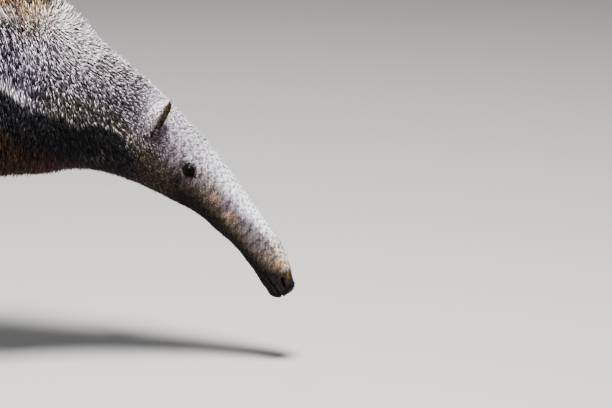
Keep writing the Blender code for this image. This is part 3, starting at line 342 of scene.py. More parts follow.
def spline(values, at):
    """Catmull-Rom through rows of values, read at fractional row numbers."""
    rows = np.asarray(values, float)
    rows = np.vstack([2 * rows[0] - rows[1], rows, 2 * rows[-1] - rows[-2]])
    at = np.clip(np.asarray(at, float), 0, len(rows) - 3 - 1e-9)
    i = at.astype(int)
    t = (at - i)[:, None]
    a, b, c, d = rows[i], rows[i + 1], rows[i + 2], rows[i + 3]
    return 0.5 * (2 * b + (c - a) * t + (2 * a - 5 * b + 4 * c - d) * t**2 + (3 * b - a - 3 * c + d) * t**3)


def ramp(x, low, high):
    """Smooth step from 0 at low to 1 at high; low may be the larger."""
    t = np.clip((x - low) / (high - low), 0, 1)
    return t * t * (3 - 2 * t)


def bell(value, middle, width):
    """1 at the middle, falling softly to 0 on both sides."""
    return np.exp(-(((value - middle) / width) ** 2))


def mix(a, b, share):
    """Between a and b by a share for each point; a colour may be given as hexadecimal text."""
    a, b = (rgb(colour) if isinstance(colour, str) else colour for colour in (a, b))
    return a + (b - a) * np.asarray(share)[..., None]


def unit(v):
    return v / np.maximum(np.linalg.norm(v, axis=-1, keepdims=True), 1e-12)


def dot(a, b):
    return (a * b).sum(-1)


def waves(p, scale, seed):
    """Soft random field over points, between about -1 and 1."""
    local = np.random.default_rng(seed)
    total = np.zeros(len(p))
    for _ in range(6):
        way = unit(local.normal(size=3))
        total += np.sin(p @ way * (2 * math.pi / scale) * local.uniform(0.6, 1.6) + local.uniform(0, 6.28))
    return total / 3


def to_left(p):
    """Points mirrored to the left side."""
    return p * [1, 0, 1] + np.abs(p) * [0, 1, 0]


def side_factors(p):
    """Factors that carry a direction of the left side to the side of each point."""
    return np.where([False, True, False], np.sign(p), 1.0)


def seen_height(p):
    """Height of points in the picture."""
    return p[:, 2] - SIGHT_SLOPE * np.abs(p[:, 1])


def read_rows(rows, field, at):
    """A field of a table, read between its rows at values of their first field."""
    rows = sorted(rows)
    values = np.array([getattr(row, field) for row in rows], float)
    keys = [row[0] for row in rows]
    if values.ndim == 1:
        return np.interp(at, keys, values)
    return np.stack([np.interp(at, keys, column) for column in values.T], axis=1)


def along_x(*rows):
    """A value that changes along the animal, from rows of X and value."""
    xs, values = zip(*sorted(rows))
    return lambda p: np.interp(p[..., 0], xs, values)


def everywhere(value):
    return lambda p: np.full(p.shape[:-1], float(value))


# Surfaces of the body


def trunk_points(stations, turns):
    """Points of the skin for each station along the trunk and each turn round it (0 left side, 90 top)."""
    sections = [(*s.back, *s.belly, s.half_width, s.lean, s.depth) for s in TRUNK]
    rows = spline(sections, np.clip(stations, 0, LAST))
    nose = np.clip(-stations, 0, 1) * math.pi / 2
    end = np.clip(stations - LAST, 0, 1) * math.pi / 2
    scale = np.cos(nose) ** (1 / SNOUT_BLUNTNESS) * np.cos(end)
    middle = (rows[:, 0:2] + rows[:, 2:4]) / 2
    first, last = TRUNK[0], TRUNK[-1]
    nose_way = way_out(first, TRUNK[1])
    end_way = way_out(last, TRUNK[-2])
    nose_reach = (np.sin(nose) ** (1 / SNOUT_BLUNTNESS))[:, None]
    middle = middle + nose_way * (SNOUT_CAP - first.depth) * nose_reach
    middle = middle + end_way * (TAIL_CAP - last.depth) * np.sin(end)[:, None]
    half = (rows[:, 0:2] - rows[:, 2:4]) / 2
    reach = np.linalg.norm(half, axis=1)
    half = half * ((reach - rows[:, 6]) / reach * scale)[:, None]
    wide = (rows[:, 4] - rows[:, 6]) * scale
    power = 2 / SQUARENESS
    across = np.sign(np.cos(turns)) * np.abs(np.cos(turns)) ** power
    up = np.sign(np.sin(turns)) * np.abs(np.sin(turns)) ** power
    points = np.zeros((len(stations), len(turns), 3))
    points[:, :, 0] = middle[:, None, 0] + half[:, None, 0] * up
    points[:, :, 2] = middle[:, None, 1] + half[:, None, 1] * up
    points[:, :, 1] = wide[:, None] * across * (1 - rows[:, None, 5] * up)
    return points


def way_out(end, inner):
    """Unit vector in the X-Z plane from the inner section's middle to the end's."""
    a = (np.array(end.back) + np.array(end.belly)) / 2
    b = (np.array(inner.back) + np.array(inner.belly)) / 2
    return unit(a - b)


def even_stations(first, last, spacing):
    """Stations whose rings lie about that far apart along the trunk's middle line."""
    fine = np.linspace(first, last, STATIONS_RUN)
    rows = spline([(*s.back, *s.belly) for s in TRUNK], fine)
    middle = (rows[:, 0:2] + rows[:, 2:4]) / 2
    run = np.concatenate([[0], np.cumsum(np.linalg.norm(np.diff(middle, axis=0), axis=1))])
    count = max(2, int(run[-1] / spacing))
    return np.interp(np.linspace(0, run[-1], count), run, fine)


def limb_points(kind, side, rows, columns):
    """Points of a limb's skin, from its first ring to its last, and round from ahead."""
    rings = LIMBS[kind]
    values = spline([(*r.at, r.fore, r.side) for r in rings], np.linspace(0, len(rings) - 1, rows))
    middle = np.stack([FOOT_X[kind][side] + values[:, 0], values[:, 1] * SIDES[side], values[:, 2]], axis=1)
    way = unit(np.gradient(middle, axis=0))
    across = unit(np.array([0.0, 1.0, 0.0]) - way * way[:, 1:2])
    ahead = np.cross(way, across)
    thin, thick = LEG_COAT
    depth = thin + (thick - thin) * ramp(middle[:, 2], *LEG_COAT_LEVELS) * (kind != "foot")
    fore, out = np.maximum(values[:, 3:5] - depth[:, None], LEAST_RADIUS).T[..., None, None]
    turns = np.linspace(0, 2 * math.pi, columns, endpoint=False)
    cos, sin = np.cos(turns)[None, :, None], np.sin(turns)[None, :, None]
    return middle[:, None] + ahead[:, None] * fore * cos + across[:, None] * out * sin


def ball_points(at, radii, rows=12, columns=20):
    down = np.linspace(0, math.pi, rows + 2)[1:-1, None]
    turns = np.linspace(0, 2 * math.pi, columns, endpoint=False)[None, :]
    ring = np.sin(down)
    shape = np.stack([ring * np.cos(turns), ring * np.sin(turns), np.cos(down) * np.ones_like(turns)], axis=2)
    return np.array(at) + shape * np.array(radii)


def add_object(name, data):
    made = bpy.data.objects.new(name, data)
    bpy.context.scene.collection.objects.link(made)
    return made


def mesh_object(name, points, faces):
    mesh = bpy.data.meshes.new(name)
    mesh.from_pydata(np.asarray(points).tolist(), [], faces)
    return add_object(name, mesh)


def closed_object(name, points, faces):
    """A closed body whose faces are turned outwards."""
    made = mesh_object(name, points, faces)
    shape = bmesh.new()
    shape.from_mesh(made.data)
    bmesh.ops.recalc_face_normals(shape, faces=shape.faces)
    shape.to_mesh(made.data)
    shape.free()
    return made


def grid_body(name, grid):
    """A closed body through the rings of a grid, each end closed at its ring's middle."""
    rows, columns = grid.shape[:2]
    points = np.vstack([grid.reshape(-1, 3), grid[0].mean(0), grid[-1].mean(0)])
    first, last = len(points) - 2, len(points) - 1
    index = np.arange(rows * columns).reshape(rows, columns)
    turned = np.roll(index, -1, axis=1)
    quads = np.stack([index[:-1], turned[:-1], turned[1:], index[1:]], axis=2).reshape(-1, 4).tolist()
    caps = [(first, b, a) for a, b in zip(index[0].tolist(), turned[0].tolist())]
    caps += [(last, a, b) for a, b in zip(index[-1].tolist(), turned[-1].tolist())]
    return closed_object(name, points, quads + caps)


def dress(made, finish, slot, *nodes):
    """Finish and body of a piece, and the solid nodes that it stands for, which are hidden; the slot is not
    used.
    """
    made.data.materials.append(material(finish))
    made.data.shade_smooth()
    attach(made, "root")
    if nodes:
        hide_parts(*nodes)


def side_point(at, mirror):
    """A point given for the left half, on the side wanted."""
    return np.array([at[0], -at[1] * mirror, at[2]])


def hand_place(side):
    return np.array([FOOT_X["fore"][side] + HAND_AT[0], HAND_AT[1] * SIDES[side], HAND_AT[2]])


def hind_toes(side):
    """Place and outward turn of each hind toe."""
    mirror = SIDES[side]
    toes = []
    for share in np.linspace(-1, 1, HIND_TOES):
        ahead = FOOT_X["hind"][side] + TOE_AT[0] - TOE_CURVE * share * share
        place = np.array([ahead, (TOE_AT[1] + TOE_FAN * share) * mirror, TOE_RADIUS])
        toes.append((place, TOE_SPLAY * share * mirror))
    return toes


def joined(target, others):
    """One Boolean union of the target with the others, applied."""
    group = bpy.data.collections.new("joining")
    for other in others:
        group.objects.link(other)
    modifier = target.modifiers.new("join", "BOOLEAN")
    modifier.operand_type = "COLLECTION"
    modifier.collection = group
    modifier.operation = "UNION"
    modifier.solver = "MANIFOLD"
    apply_modifiers(target)
    bpy.data.collections.remove(group)
    for other in others:
        bpy.data.objects.remove(other, do_unlink=True)


def apply_modifiers(target):
    graph = bpy.context.evaluated_depsgraph_get()
    result = bpy.data.meshes.new_from_object(target.evaluated_get(graph))
    target.modifiers.clear()
    target.data = result


def read_vectors(items, field):
    flat = np.empty(len(items) * 3, np.float32)
    items.foreach_get(field, flat)
    return flat.reshape(-1, 3).astype(float)


def vertex_array(mesh):
    return read_vectors(mesh.vertices, "co")


def set_vertices(mesh, points):
    mesh.vertices.foreach_set("co", np.asarray(points, np.float32).ravel())
    mesh.update()


def build_skin():
    """Trunk, limbs, digits and toes as one closed surface, with soft creases between them."""
    cap_scales = np.linspace(SMALLEST_RING, 1, NOSE_RINGS, endpoint=False)
    nose = -np.arccos(cap_scales**SNOUT_BLUNTNESS) / (math.pi / 2)
    head, body = even_stations(0, HEAD_END, HEAD_SPACING), even_stations(HEAD_END, LAST, BODY_SPACING)
    stations = np.concatenate([nose, head, body, LAST + np.linspace(0, TAIL_CAP_END, TAIL_RINGS)])
    turns = np.linspace(0, 2 * math.pi, TRUNK_COLUMNS, endpoint=False)
    skin = grid_body("skin", trunk_points(stations, turns))
    others = []
    for side, mirror in SIDES.items():
        for kind, grid in LIMB_GRID.items():
            others.append(grid_body("limb", limb_points(kind, side, *grid)))
        for at, radius, _, _ in FORE_DIGITS:
            place = hand_place(side) + side_point((at[0], -at[1], at[2]), mirror)
            size = radius - LEG_COAT[0]
            others.append(grid_body("digit", ball_points(place, (size * DIGIT_LENGTH, size, size))))
        for at, _ in hind_toes(side):
            size = TOE_RADIUS - LEG_COAT[0] / 2
            others.append(grid_body("toe", ball_points(at, np.array(TOE_RADII) * size)))
    joined(skin, others)
    soften_creases(skin)
    points = vertex_array(skin.data)
    points[:, 2] = np.maximum(points[:, 2], SKIN_LOWEST)
    set_vertices(skin.data, points)
    return skin


def soften_creases(skin):
    """Smooths the skin near the creases that joining left."""
    shape = bmesh.new()
    shape.from_mesh(skin.data)
    near = []
    for edge in shape.edges:
        at = (edge.verts[0].co + edge.verts[1].co) / 2
        if at.x < CREASE_FRONT and at.z > CREASE_FLOOR and edge.calc_face_angle(0) > CREASE_ANGLE:
            near.append(at)
    shape.free()
    tree = KDTree(len(near))
    for k, at in enumerate(near):
        tree.insert(at, k)
    tree.balance()
    group = skin.vertex_groups.new(name="crease")
    for vertex in skin.data.vertices:
        reach = CREASE_REACH * (CREASE_REACH_LOW if vertex.co.z < CREASE_LOW else 1.0)
        distance = tree.find(vertex.co)[2]
        if vertex.co.x < CREASE_FRONT + CREASE_REACH and distance < reach:
            group.add([vertex.index], 1 - distance / reach, "REPLACE")
    modifier = skin.modifiers.new("soften", "SMOOTH")
    modifier.factor = 0.5
    modifier.iterations = CREASE_ROUNDS
    modifier.vertex_group = "crease"
    apply_modifiers(skin)
    skin.vertex_groups.clear()


# Finer shape of the head


def eye_frame(side):
    """Centre of the eye, the way it faces, the almond's long axis and its upward axis."""
    mirror = SIDES[side]
    centre = side_point(EYE_AT, mirror)
    out = unit(side_point(LID_FACING, mirror))
    ahead = np.array(LID_SLANT)
    ahead = unit(ahead - out * (ahead @ out))
    up = np.cross(out, ahead) * mirror
    return centre, out, ahead, up


def in_eye_frame(p, side):
    """Points as an eye sees them: along its slit, up from it, and out."""
    centre, out, ahead, up = eye_frame(side)
    d = p - centre
    return d @ ahead, d @ up, d @ out


def refine(skin):
    """Divides the faces round the eyes, and once at the end of the snout."""
    eyes = [(Vector(eye_frame(side)[0]), EYE_DETAIL) for side in SIDES]
    for places in [eyes + [(Vector(SNOUT_END), SNOUT_DETAIL)]] + [eyes] * (DETAIL_ROUNDS - 1):
        shape = bmesh.new()
        shape.from_mesh(skin.data)
        edges = set()
        for at, reach in places:
            for face in shape.faces:
                if (face.calc_center_median() - at).length < reach:
                    edges.update(face.edges)
        bmesh.ops.subdivide_edges(shape, edges=list(edges), cuts=1, use_grid_fill=True)
        shape.to_mesh(skin.data)
        shape.free()


def shape_eye(p, side):
    """Draws the skin near an eye onto the ball of the eye, with lids, an open slit, folds and a brow."""
    centre, out, _, _ = eye_frame(side)
    u, v, w = in_eye_frame(p, side)
    reach = np.linalg.norm(p - centre, axis=1)
    long, above, below = EYE_OPENING
    r = np.sqrt((u / long) ** 2 + (v / np.where(v > 0, above, below)) ** 2)
    lid = EYE_RADIUS + LID_GAP + LID_SWELL * bell(r, 1.12, 0.20) * np.where(v > 0, 1.25, 0.8)
    target = np.where(r < 0.96, EYE_RADIUS - SOCKET_DEPTH, lid)
    hold = 1 - ramp(r, 1.35, 2.5)
    moved = centre + unit(p - centre) * (reach + (target - reach) * hold)[:, None]
    folds = sum(height * bell(r, ring, width) * ramp(v, *levels) for height, ring, width, levels in EYE_FOLDS)
    tear = -0.0010 * bell(v, -0.0015, 0.0012) * ramp(u, 0.006, 0.009) * ramp(u, 0.020, 0.013)
    moved = moved + out * (folds + tear)[:, None]
    near = (reach < EYE_SKIN_REACH) & (w > -0.006)
    return np.where(near[:, None], moved, p)


def line_distance(p, line):
    """Distance of points from a chain of straight lines, and the share along it."""
    best, along = np.full(len(p), 1e9), np.zeros(len(p))
    for k in range(len(line) - 1):
        a, b = np.array(line[k]), np.array(line[k + 1])
        t = np.clip((p - a) @ (b - a) / ((b - a) @ (b - a)), 0, 1)
        away = np.linalg.norm(p - (a + t[:, None] * (b - a)), axis=1)
        along = np.where(away < best, (k + t) / (len(line) - 1), along)
        best = np.minimum(best, away)
    return best, along


def nostril_distance(p, side):
    """Distance from a nostril's line as seen from the side, and the share along it."""
    mirror = SIDES[side]
    away, along = line_distance(p * [1, 0, 1], NOSTRIL)
    return away + 0.02 * ramp(-p[:, 1] * mirror, 0.012, 0.008), along


def pad_share(p):
    """1 on the wet pad at the snout's end, 0 beyond it."""
    return ramp(np.linalg.norm((p - NOSE_PAD) / NOSE_PAD_SIZE, axis=1), 1.15, 0.85)


def shape_snout(p, n):
    """Nostrils, the line of the mouth with its lips, and the soft furrows of the snout's end."""
    push = np.zeros(len(p))
    for side in SIDES:
        away, along = nostril_distance(p, side)
        upper, lower = NOSTRIL_WIDTH
        push -= NOSTRIL_DEPTH * bell(away, 0, upper + (lower - upper) * along)
        push += NOSTRIL_RIM[0] * bell(away, *NOSTRIL_RIM[1:])
    back, front = np.array(MOUTH_BACK), np.array(MOUTH_FRONT)
    way = unit(front - back)
    thick = np.array([-way[2], 0, way[0]])
    ahead, above = (p - back) @ way, (p - back) @ thick
    open_share = ramp(ahead, -0.004, 0.008)
    push -= MOUTH_GROOVE[0] * bell(above, 0, MOUTH_GROOVE[1]) * open_share
    push += MOUTH_LIPS[0] * bell(np.abs(above), *MOUTH_LIPS[1:]) * open_share
    furrow = bell(p[:, 1], 0, NOSE_FURROW[1]) * ramp(p[:, 2], 0.150, 0.140) * ramp(above, 0, 0.004)
    push -= NOSE_FURROW[0] * furrow
    grain = PAD_GRAIN[0] * waves(p, PAD_GRAIN[1], 9)
    push += grain * pad_share(p) * (1 - open_share * bell(above, 0, 0.0016))
    return p + n * push[:, None]


def shape_head(skin):
    """The finer shape of the head: lips lowered, snout, eyes and a soft grain."""
    refine(skin)
    points, normals = vertex_array(skin.data), read_vectors(skin.data.vertex_normals, "vector")
    points[:, 2] -= LIPS_DROP * (ramp(points[:, 2], 0.152, 0.124) * ramp(points[:, 0], 0.90, 0.93))
    snout = np.linalg.norm(points - SNOUT_END, axis=1) < SNOUT_DETAIL
    points[snout] = shape_snout(points[snout], normals[snout])
    for side in SIDES:
        points = shape_eye(points, side)
    head = ramp(points[:, 0], 0.74, 0.80)
    grain = waves(points, COARSE_GRAIN[1], 3) * COARSE_GRAIN[0]
    grain = grain + waves(points * [1, 1, 0.6], FINE_GRAIN[1], 4) * FINE_GRAIN[0]
    set_vertices(skin.data, points + normals * (grain * head)[:, None])


# Markings and painted light and shade, the same for skin and coat


def locate(p):
    """Station along the trunk of each point, and how far up its section it lies, from -1 to 1."""
    stations = np.linspace(-STATIONS_AHEAD, LAST, STATIONS_TRIED)
    rows = spline([(*s.back, *s.belly) for s in TRUNK], np.maximum(stations, 0))
    middle, half = (rows[:, 0:2] + rows[:, 2:4]) / 2, (rows[:, 0:2] - rows[:, 2:4]) / 2
    beyond = np.clip(-stations, 0, 1) * SNOUT_CAP / STATIONS_AHEAD
    middle = middle + way_out(TRUNK[0], TRUNK[1]) * beyond[:, None]
    reach = np.linalg.norm(half, axis=1)
    along = np.stack([half[:, 1], -half[:, 0]], axis=1) / reach[:, None]
    station, up = np.zeros(len(p)), np.zeros(len(p))
    for start in range(0, len(p), LOCATED_AT_ONCE):
        part = p[start : start + LOCATED_AT_ONCE][:, None, [0, 2]] - middle[None]
        level = (part * half[None]).sum(2) / reach**2
        away = np.abs((part * along[None]).sum(2)) + np.maximum(np.abs(level) - 1.25, 0)
        best = away.argmin(1)
        station[start : start + LOCATED_AT_ONCE] = stations[best]
        up[start : start + LOCATED_AT_ONCE] = np.take_along_axis(level, best[:, None], 1)[:, 0]
    return station, up


def limb_share(p, kind):
    """1 on the limbs of that kind, 0 elsewhere."""
    rings = sorted(LIMBS[kind], key=lambda ring: ring.at[2])
    share = np.zeros(len(p))
    x, y, _, fore, out = (
        np.interp(p[:, 2], [ring.at[2] for ring in rings], column)
        for column in zip(*((*ring.at, ring.fore, ring.side) for ring in rings))
    )
    for side, mirror in SIDES.items():
        ahead = p[:, 0] - FOOT_X[kind][side]
        radius = np.hypot((ahead - x) / fore, (p[:, 1] - mirror * y) / out)
        share = np.maximum(share, ramp(radius, 1.45, 1.10) * ramp(p[:, 2], 0.40, 0.28))
        foot = (np.abs(ahead - 0.03) < 0.14) & (p[:, 1] * mirror < 0) & (p[:, 2] < 0.10)
        share = np.where(foot, 1.0, share)
    return share


def spot(x, z, at, size):
    """Soft spot round a point."""
    return np.exp(-(((x - at[0]) / size[0]) ** 2) - ((z - at[1]) / size[1]) ** 2)


def parting(p):
    """1 on the line that the hair of neck and shoulders runs away from, falling to 0 beside it."""
    return bell(line_distance(to_left(p), [WHORL, WHORL_BACK])[0], 0, PARTING_WIDTH)


def eye_ring(p, side):
    """Distance from an eye (1 at its rim), place along and above its slit, and which points are near."""
    u, v, w = in_eye_frame(p, side)
    return np.sqrt((u / EYE_RIM[0]) ** 2 + ((v + EYE_RIM_DROP) / EYE_RIM[1]) ** 2), u, v, w > EYE_BESIDE


# What the markings are placed by: station and up say where on the trunk, patchy and fine are noises.
Seen = namedtuple("Seen", "x z height station up patchy fine band_top")


def stain(coat, share, root, tip, darker=0.0):
    """Coat mixed with a root and a tip colour, each with its strength, and with more hairs that stay dark."""
    roots, tips, dark = coat
    roots = mix(roots, root[0], share * root[1]) if root else roots
    tips = mix(tips, tip[0], share * tip[1]) if tip else tips
    return roots, tips, dark + darker * share


def neck_coat(p, at):
    """Salt and pepper, paler above, with tan and cream bristles at the crest."""
    x, height = at.x, at.height
    pale = ramp(height + 0.012 * at.patchy - 0.044 * ramp(x, 0.61, 0.54), 0.415, 0.520)
    tip = mix(mix("b3a8c0", "cbc1ca", ramp(x, 0.60, 0.70)), "f2eaee", pale)
    coat = mix("0b080b", "2e262c", pale), tip, 0.64 - 0.31 * pale
    for paler, place in PALE_SPOTS:
        coat = stain(coat, spot(x, height, *place), None, None, -paler)
    lowest = ramp(height - at.band_top + 0.008 * at.patchy, 0.060, 0.012) * ramp(x, 0.585, 0.625)
    coat = stain(coat, lowest, None, ("cdc0a2", 0.6), 0.24)
    tan = np.maximum(spot(x, height, *TAN_CREST), 0.95 * spot(x, height, *TAN_SHOULDER))
    tan = np.clip(1.8 * tan, 0, 1) * (0.85 + 0.25 * at.fine)
    coat = stain(coat, tan, ("24150a", 1), ("9a7038", 1), 0.36)
    coat = stain(coat, ramp(height, 0.540, 0.556) * ramp(x, 0.592, 0.612), None, None, 0.40)
    coat = stain(coat, spot(x, height, *CREAM), ("3a2e28", 0.8), ("fff6ea", 1), 0.02)
    line = parting(p)
    root, tip, dark = stain(coat, line, ("7c6d68", 0.6), ("b8a698", 0.4))
    spine = ramp(np.abs(p[:, 1]), 0.026, 0.010) * ramp(x, 0.70, 0.65) * ramp(x, 0.598, 0.622)
    return stain((root, tip, dark * (1 - 0.6 * line)), spine, ("14101a", 0.8), ("9d90a0", 0.5), 0.22)


def body_coat(coat, at):
    """Grizzled brown, darker below and behind."""
    root, tip, dark = coat
    body, low = ramp(at.x, 0.54, 0.36), ramp(at.z, 0.52, 0.36)
    body_tip = mix(mix("826f5c", "43362d", low), "6a5646", ramp(at.x, 0.0, -0.25) * 0.6)
    root, tip = mix(root, mix("1f1814", "130f0d", low), body), mix(tip, body_tip, body)
    return root, tip, dark + (0.30 - dark) * body


def head_coat(p, coat, at):
    """Pale along the top, brown-grey at the side, dark below and at the end, with marks round the eyes. The
    near-white top is partly painted light from above and the dark underside is painted shade. Painted shadow
    lies in the hollow behind the eye, in creases and along the snout's fold.
    """
    root, tip, dark = coat
    x, height, station, up, fine = at.x, at.height, at.station, at.up, at.fine
    flank = mix(mix("7a6e76", "5c5154", ramp(station, 6.5, 3.0)), "6c5c4a", ramp(station, 2.6, 1.2))
    # near-white top: partly its own pale grey, partly painted light from above
    top = mix(mix("cdc2d2", "f2ecff", ramp(station, 8.6, 5.5)), "c2b0a4", ramp(station, 3.6, 1.6))
    level = up + 0.04 * fine + 0.05 * waves(p, 0.008, 23)
    shade = mix(flank, top, ramp(level, 0.14 + 0.12 * ramp(station, 4.5, 2.5), 0.95))
    # darker along the snout's fold: painted shade in the crease
    fold_shade = bell(height, along_x(*SNOUT_FOLD_SHADE)(p), 0.0046) * ramp(x, 0.890, 0.915) * ramp(x, 0.955, 0.944)
    shade = shade * (1 - 0.55 * fold_shade)[:, None]
    slim = 0.12 * ramp(station, 5.0, 3.0)
    # darker towards the underside of the head: painted shade
    for colour, start, full in FACE_SHADE_BELOW:
        shade = mix(shade, colour, ramp(level + slim, start, full))
    # darker low on the side between eye and ear: painted shade
    lower = ramp(station, 5.6, 6.6) * ramp(level, 0.06, -0.16) * ramp(station, 10.0, 8.8)
    shade = mix(shade, "443a31", lower * 0.75)
    shade = mix(shade, "b08a66", 0.70 * spot(station, up, *CHEEK) * ramp(fine, -0.6, 0.4))
    shade = mix(shade, "b98a63", 0.65 * spot(x, height, *LIP))
    shade = mix(shade, "120c07", ramp(station + 0.8 * up + 0.10 * fine, 1.95, 0.85))
    speck = 0.15 + 0.85 * ramp(waves(p, 0.0030, 24), -0.5, 0.5)
    shade = mix(shade, "66531c", 0.85 * spot(x, height, *NOSTRIL_EDGE) * speck)
    for colour, strength, place in FACE_MARKS:
        shade = mix(shade, colour, strength * spot(x, height, *place))
    smooth = ramp(station, 7.4, 4.0) * ramp(level, 0.2, 0.6)
    face = ramp(station, 9.3, 8.3)
    root, tip = mix(root, shade * 0.15, face), mix(tip, np.minimum(shade * 1.36 + 0.010, 0.99), face)
    # more dark tufts in the hollow behind the eye: painted shadow
    face_dark = 0.41 - (0.21 + 0.06 * ramp(station, 5.5, 4.0)) * smooth + 0.45 * spot(x, height, *HOLLOW_SHADOW)
    dark = dark + (face_dark - dark) * face
    behind_ear = spot(x, height, *BEHIND_EAR) * ramp(x, 0.765, 0.745)
    coat = stain((root, tip, dark), behind_ear, None, ("9a919d", 0.6), 0.26)
    for side in SIDES:
        r, _, v, near = eye_ring(p, side)
        coat = stain(coat, ramp(r, 1.24, 1.04) * near, ("0a0706", 0.85), ("15100e", 0.85))
        brow = bell(r, 1.60, 0.22) * ramp(v, -0.001, 0.004) * near
        root, tip, dark = stain(coat, brow, None, ("fbf4fa", 0.6))
        coat = root, tip, dark * (1 - 0.6 * brow)
    return coat


def band_coat(p, coat, at):
    """The black band from the throat over the shoulder, with its white borders."""
    x, band_top = at.x, at.band_top
    edge = at.height + 0.007 * at.fine + 0.006 * at.patchy
    band_low = np.where(x > BAND_BOTTOM[0][0], -1.0, along_x(*BAND_BOTTOM)(p))
    inside = ramp(band_top - edge, -0.004, 0.008) * ramp(edge - band_low, -0.004, 0.008)
    inside = inside * ramp(x, 0.07, 0.11) * ramp(at.station, 7.4, 8.6)
    rim = np.maximum(*(
        ramp(away, BORDER_WIDTH, BORDER_WIDTH * 0.4) * ramp(away, -0.006, 0.002)
        for away in (edge - band_top, band_low - edge)
    ))
    rim = rim * ramp(x, 0.595, 0.558) * ramp(x, 0.02, 0.10)
    root, tip, dark = stain(coat, rim, ("8d878c", 1), ("fbf9ff", 1))
    throat = ramp(band_top - at.height, 0.045, 0.085) * ramp(x, 0.46, 0.54)
    sheen = mix(mix("2a282e", "4a3024", throat), "776c6c", 0.6 * spot(x, at.height, *BAND_SHINE))
    root, tip = mix(root, mix("0f0e10", "21160f", throat) * 0.8, inside), mix(tip, sheen, inside)
    return root, tip, dark * (1 - 0.8 * rim)


def leg_and_tail_coat(p, coat, at):
    """Pale forelegs with dark wrists, brown hindlegs and tail."""
    root, tip, dark = coat
    fore, hind, tail = limb_share(p, "fore"), limb_share(p, "hind"), ramp(at.x, -0.27, -0.36)
    wrist = ramp(at.z + 0.006 * at.fine, 0.104, 0.086)
    fore_tip = mix("b9b0a0", mix("17120f", "2c241f", ramp(at.z, 0.055, 0.030)), wrist)
    root, tip = mix(root, mix("7c7263", "0d0a09", wrist), fore), mix(tip, fore_tip, fore)
    root, tip = mix(root, "0e0b09", hind), mix(tip, mix("4b3c32", "302620", ramp(at.z, 0.20, 0.05)), hind)
    dark = dark + (0.12 - dark) * fore + (0.40 - dark) * hind * (1 - fore)
    return mix(root, "1c1510", tail), mix(tip, "5c4838", tail), dark + (0.34 - dark) * tail


def coat_colours(p):
    """Colour of the coat's roots and of its tips, and the share of hairs that stay dark."""
    patchy, fine = waves(p, 0.09, 21), waves(p, 0.025, 22)
    at = Seen(p[:, 0], p[:, 2], seen_height(p), *locate(p), patchy, fine, along_x(*BAND_TOP)(p))
    coat = head_coat(p, body_coat(neck_coat(p, at), at), at)
    root, tip, dark = leg_and_tail_coat(p, band_coat(p, coat, at), at)
    return np.clip(root, 0, 1), np.clip(tip, 0, 1), dark


def skin_colours(p):
    """Colour of the skin, which shows as the depth of the coat."""
    root, tip, _ = coat_colours(p)
    station, _ = locate(p)
    face, bare = ramp(station, 9.8, 8.2), ramp(station, 7.5, 3.0)
    shade = mix(root * 0.8, root * 0.9 + tip * (0.10 + 0.26 * bare)[:, None], face)
    shade = shade * (1 - 0.65 * face * np.clip(waves(p, 0.0060, 41), -0.5, 1))[:, None]
    for side in SIDES:
        r, u, v, near = eye_ring(p, side)
        shade = mix(shade, "0a0605", ramp(r, 1.12, 0.90) * near)
        lid = np.sqrt((u / EYE_OPENING[0]) ** 2 + (v / EYE_OPENING[1]) ** 2)
        # paler olive crescent on the upper lid's rim: painted light where the rim catches it from above
        upper = bell(lid, 1.22, 0.15) * ramp(v, 0.0005, 0.0028) * ramp(u, -0.0075, -0.002)
        shade = mix(shade, "7c745c", upper * 0.9 * near)
        # dark arc above the lid: painted shadow in the fold between lid and brow
        arc = bell(lid, 1.62, 0.14) * ramp(v, 0.0, 0.0030)
        shade = mix(shade, "0e0a09", arc * 0.85 * near)
        corner = bell(v, 0.0030, 0.0010) * ramp(u, 0.004, 0.007) * ramp(u, 0.014, 0.011)
        shade = mix(shade, "2e2812", corner * 0.8 * near)
        tear = bell(v, -0.0012, 0.0010) * ramp(u, 0.006, 0.009) * ramp(u, 0.019, 0.014)
        shade = mix(shade, "17100c", tear * 0.9 * near)
        slit, _ = nostril_distance(p, side)
        rim = bell(slit, 0.0040, 0.0018) * ramp(p[:, 0], 0.9585, 0.9560)
        shade = mix(shade, "221d10", rim * (0.45 + 0.25 * waves(p, 0.004, 25)))
        # near black in the nostril's slit: painted shade in the opening
        shade = mix(shade, "030302", ramp(slit, 0.0028, 0.0014))
    return mix(shade, "020203", pad_share(p))


def skin_dryness(p):
    """0 where the skin is wet: on the nose and round the eyes."""
    wet = pad_share(p)
    for side in SIDES:
        u, v, w = in_eye_frame(p, side)
        near = ramp(np.hypot(u / EYE_WET[0], v / EYE_WET[1]), 1.1, 0.95)
        wet = np.maximum(wet, near * (w > 0) * 0.8)
    return 1 - wet


def paint(target, colours, dry=1.0):
    """Stores a colour for each vertex, which the materials read, and how dry the surface is."""
    layer = target.data.color_attributes.new("coat", "FLOAT_COLOR", "POINT")
    rgba = np.ones((len(colours), 4), np.float32)
    rgba[:, :3] = colours
    rgba[:, 3] = dry
    layer.data.foreach_set("color", rgba.ravel())


# Coat

Growth = namedtuple("Growth", "grid closed lie corner size")  # corner and size of its share of the bake map
Look = namedtuple("Look", "density length width rings contrast fade stray clump")
Tufts = namedtuple("Tufts", "start leave end long wide out root_colour tip_colour patch")


def in_cell(a, b, c, d, s, t):
    """Values in a grid's cells, from those at its four corners."""
    return (a * (1 - t) + b * t) * (1 - s) + (d * (1 - t) + c * t) * s


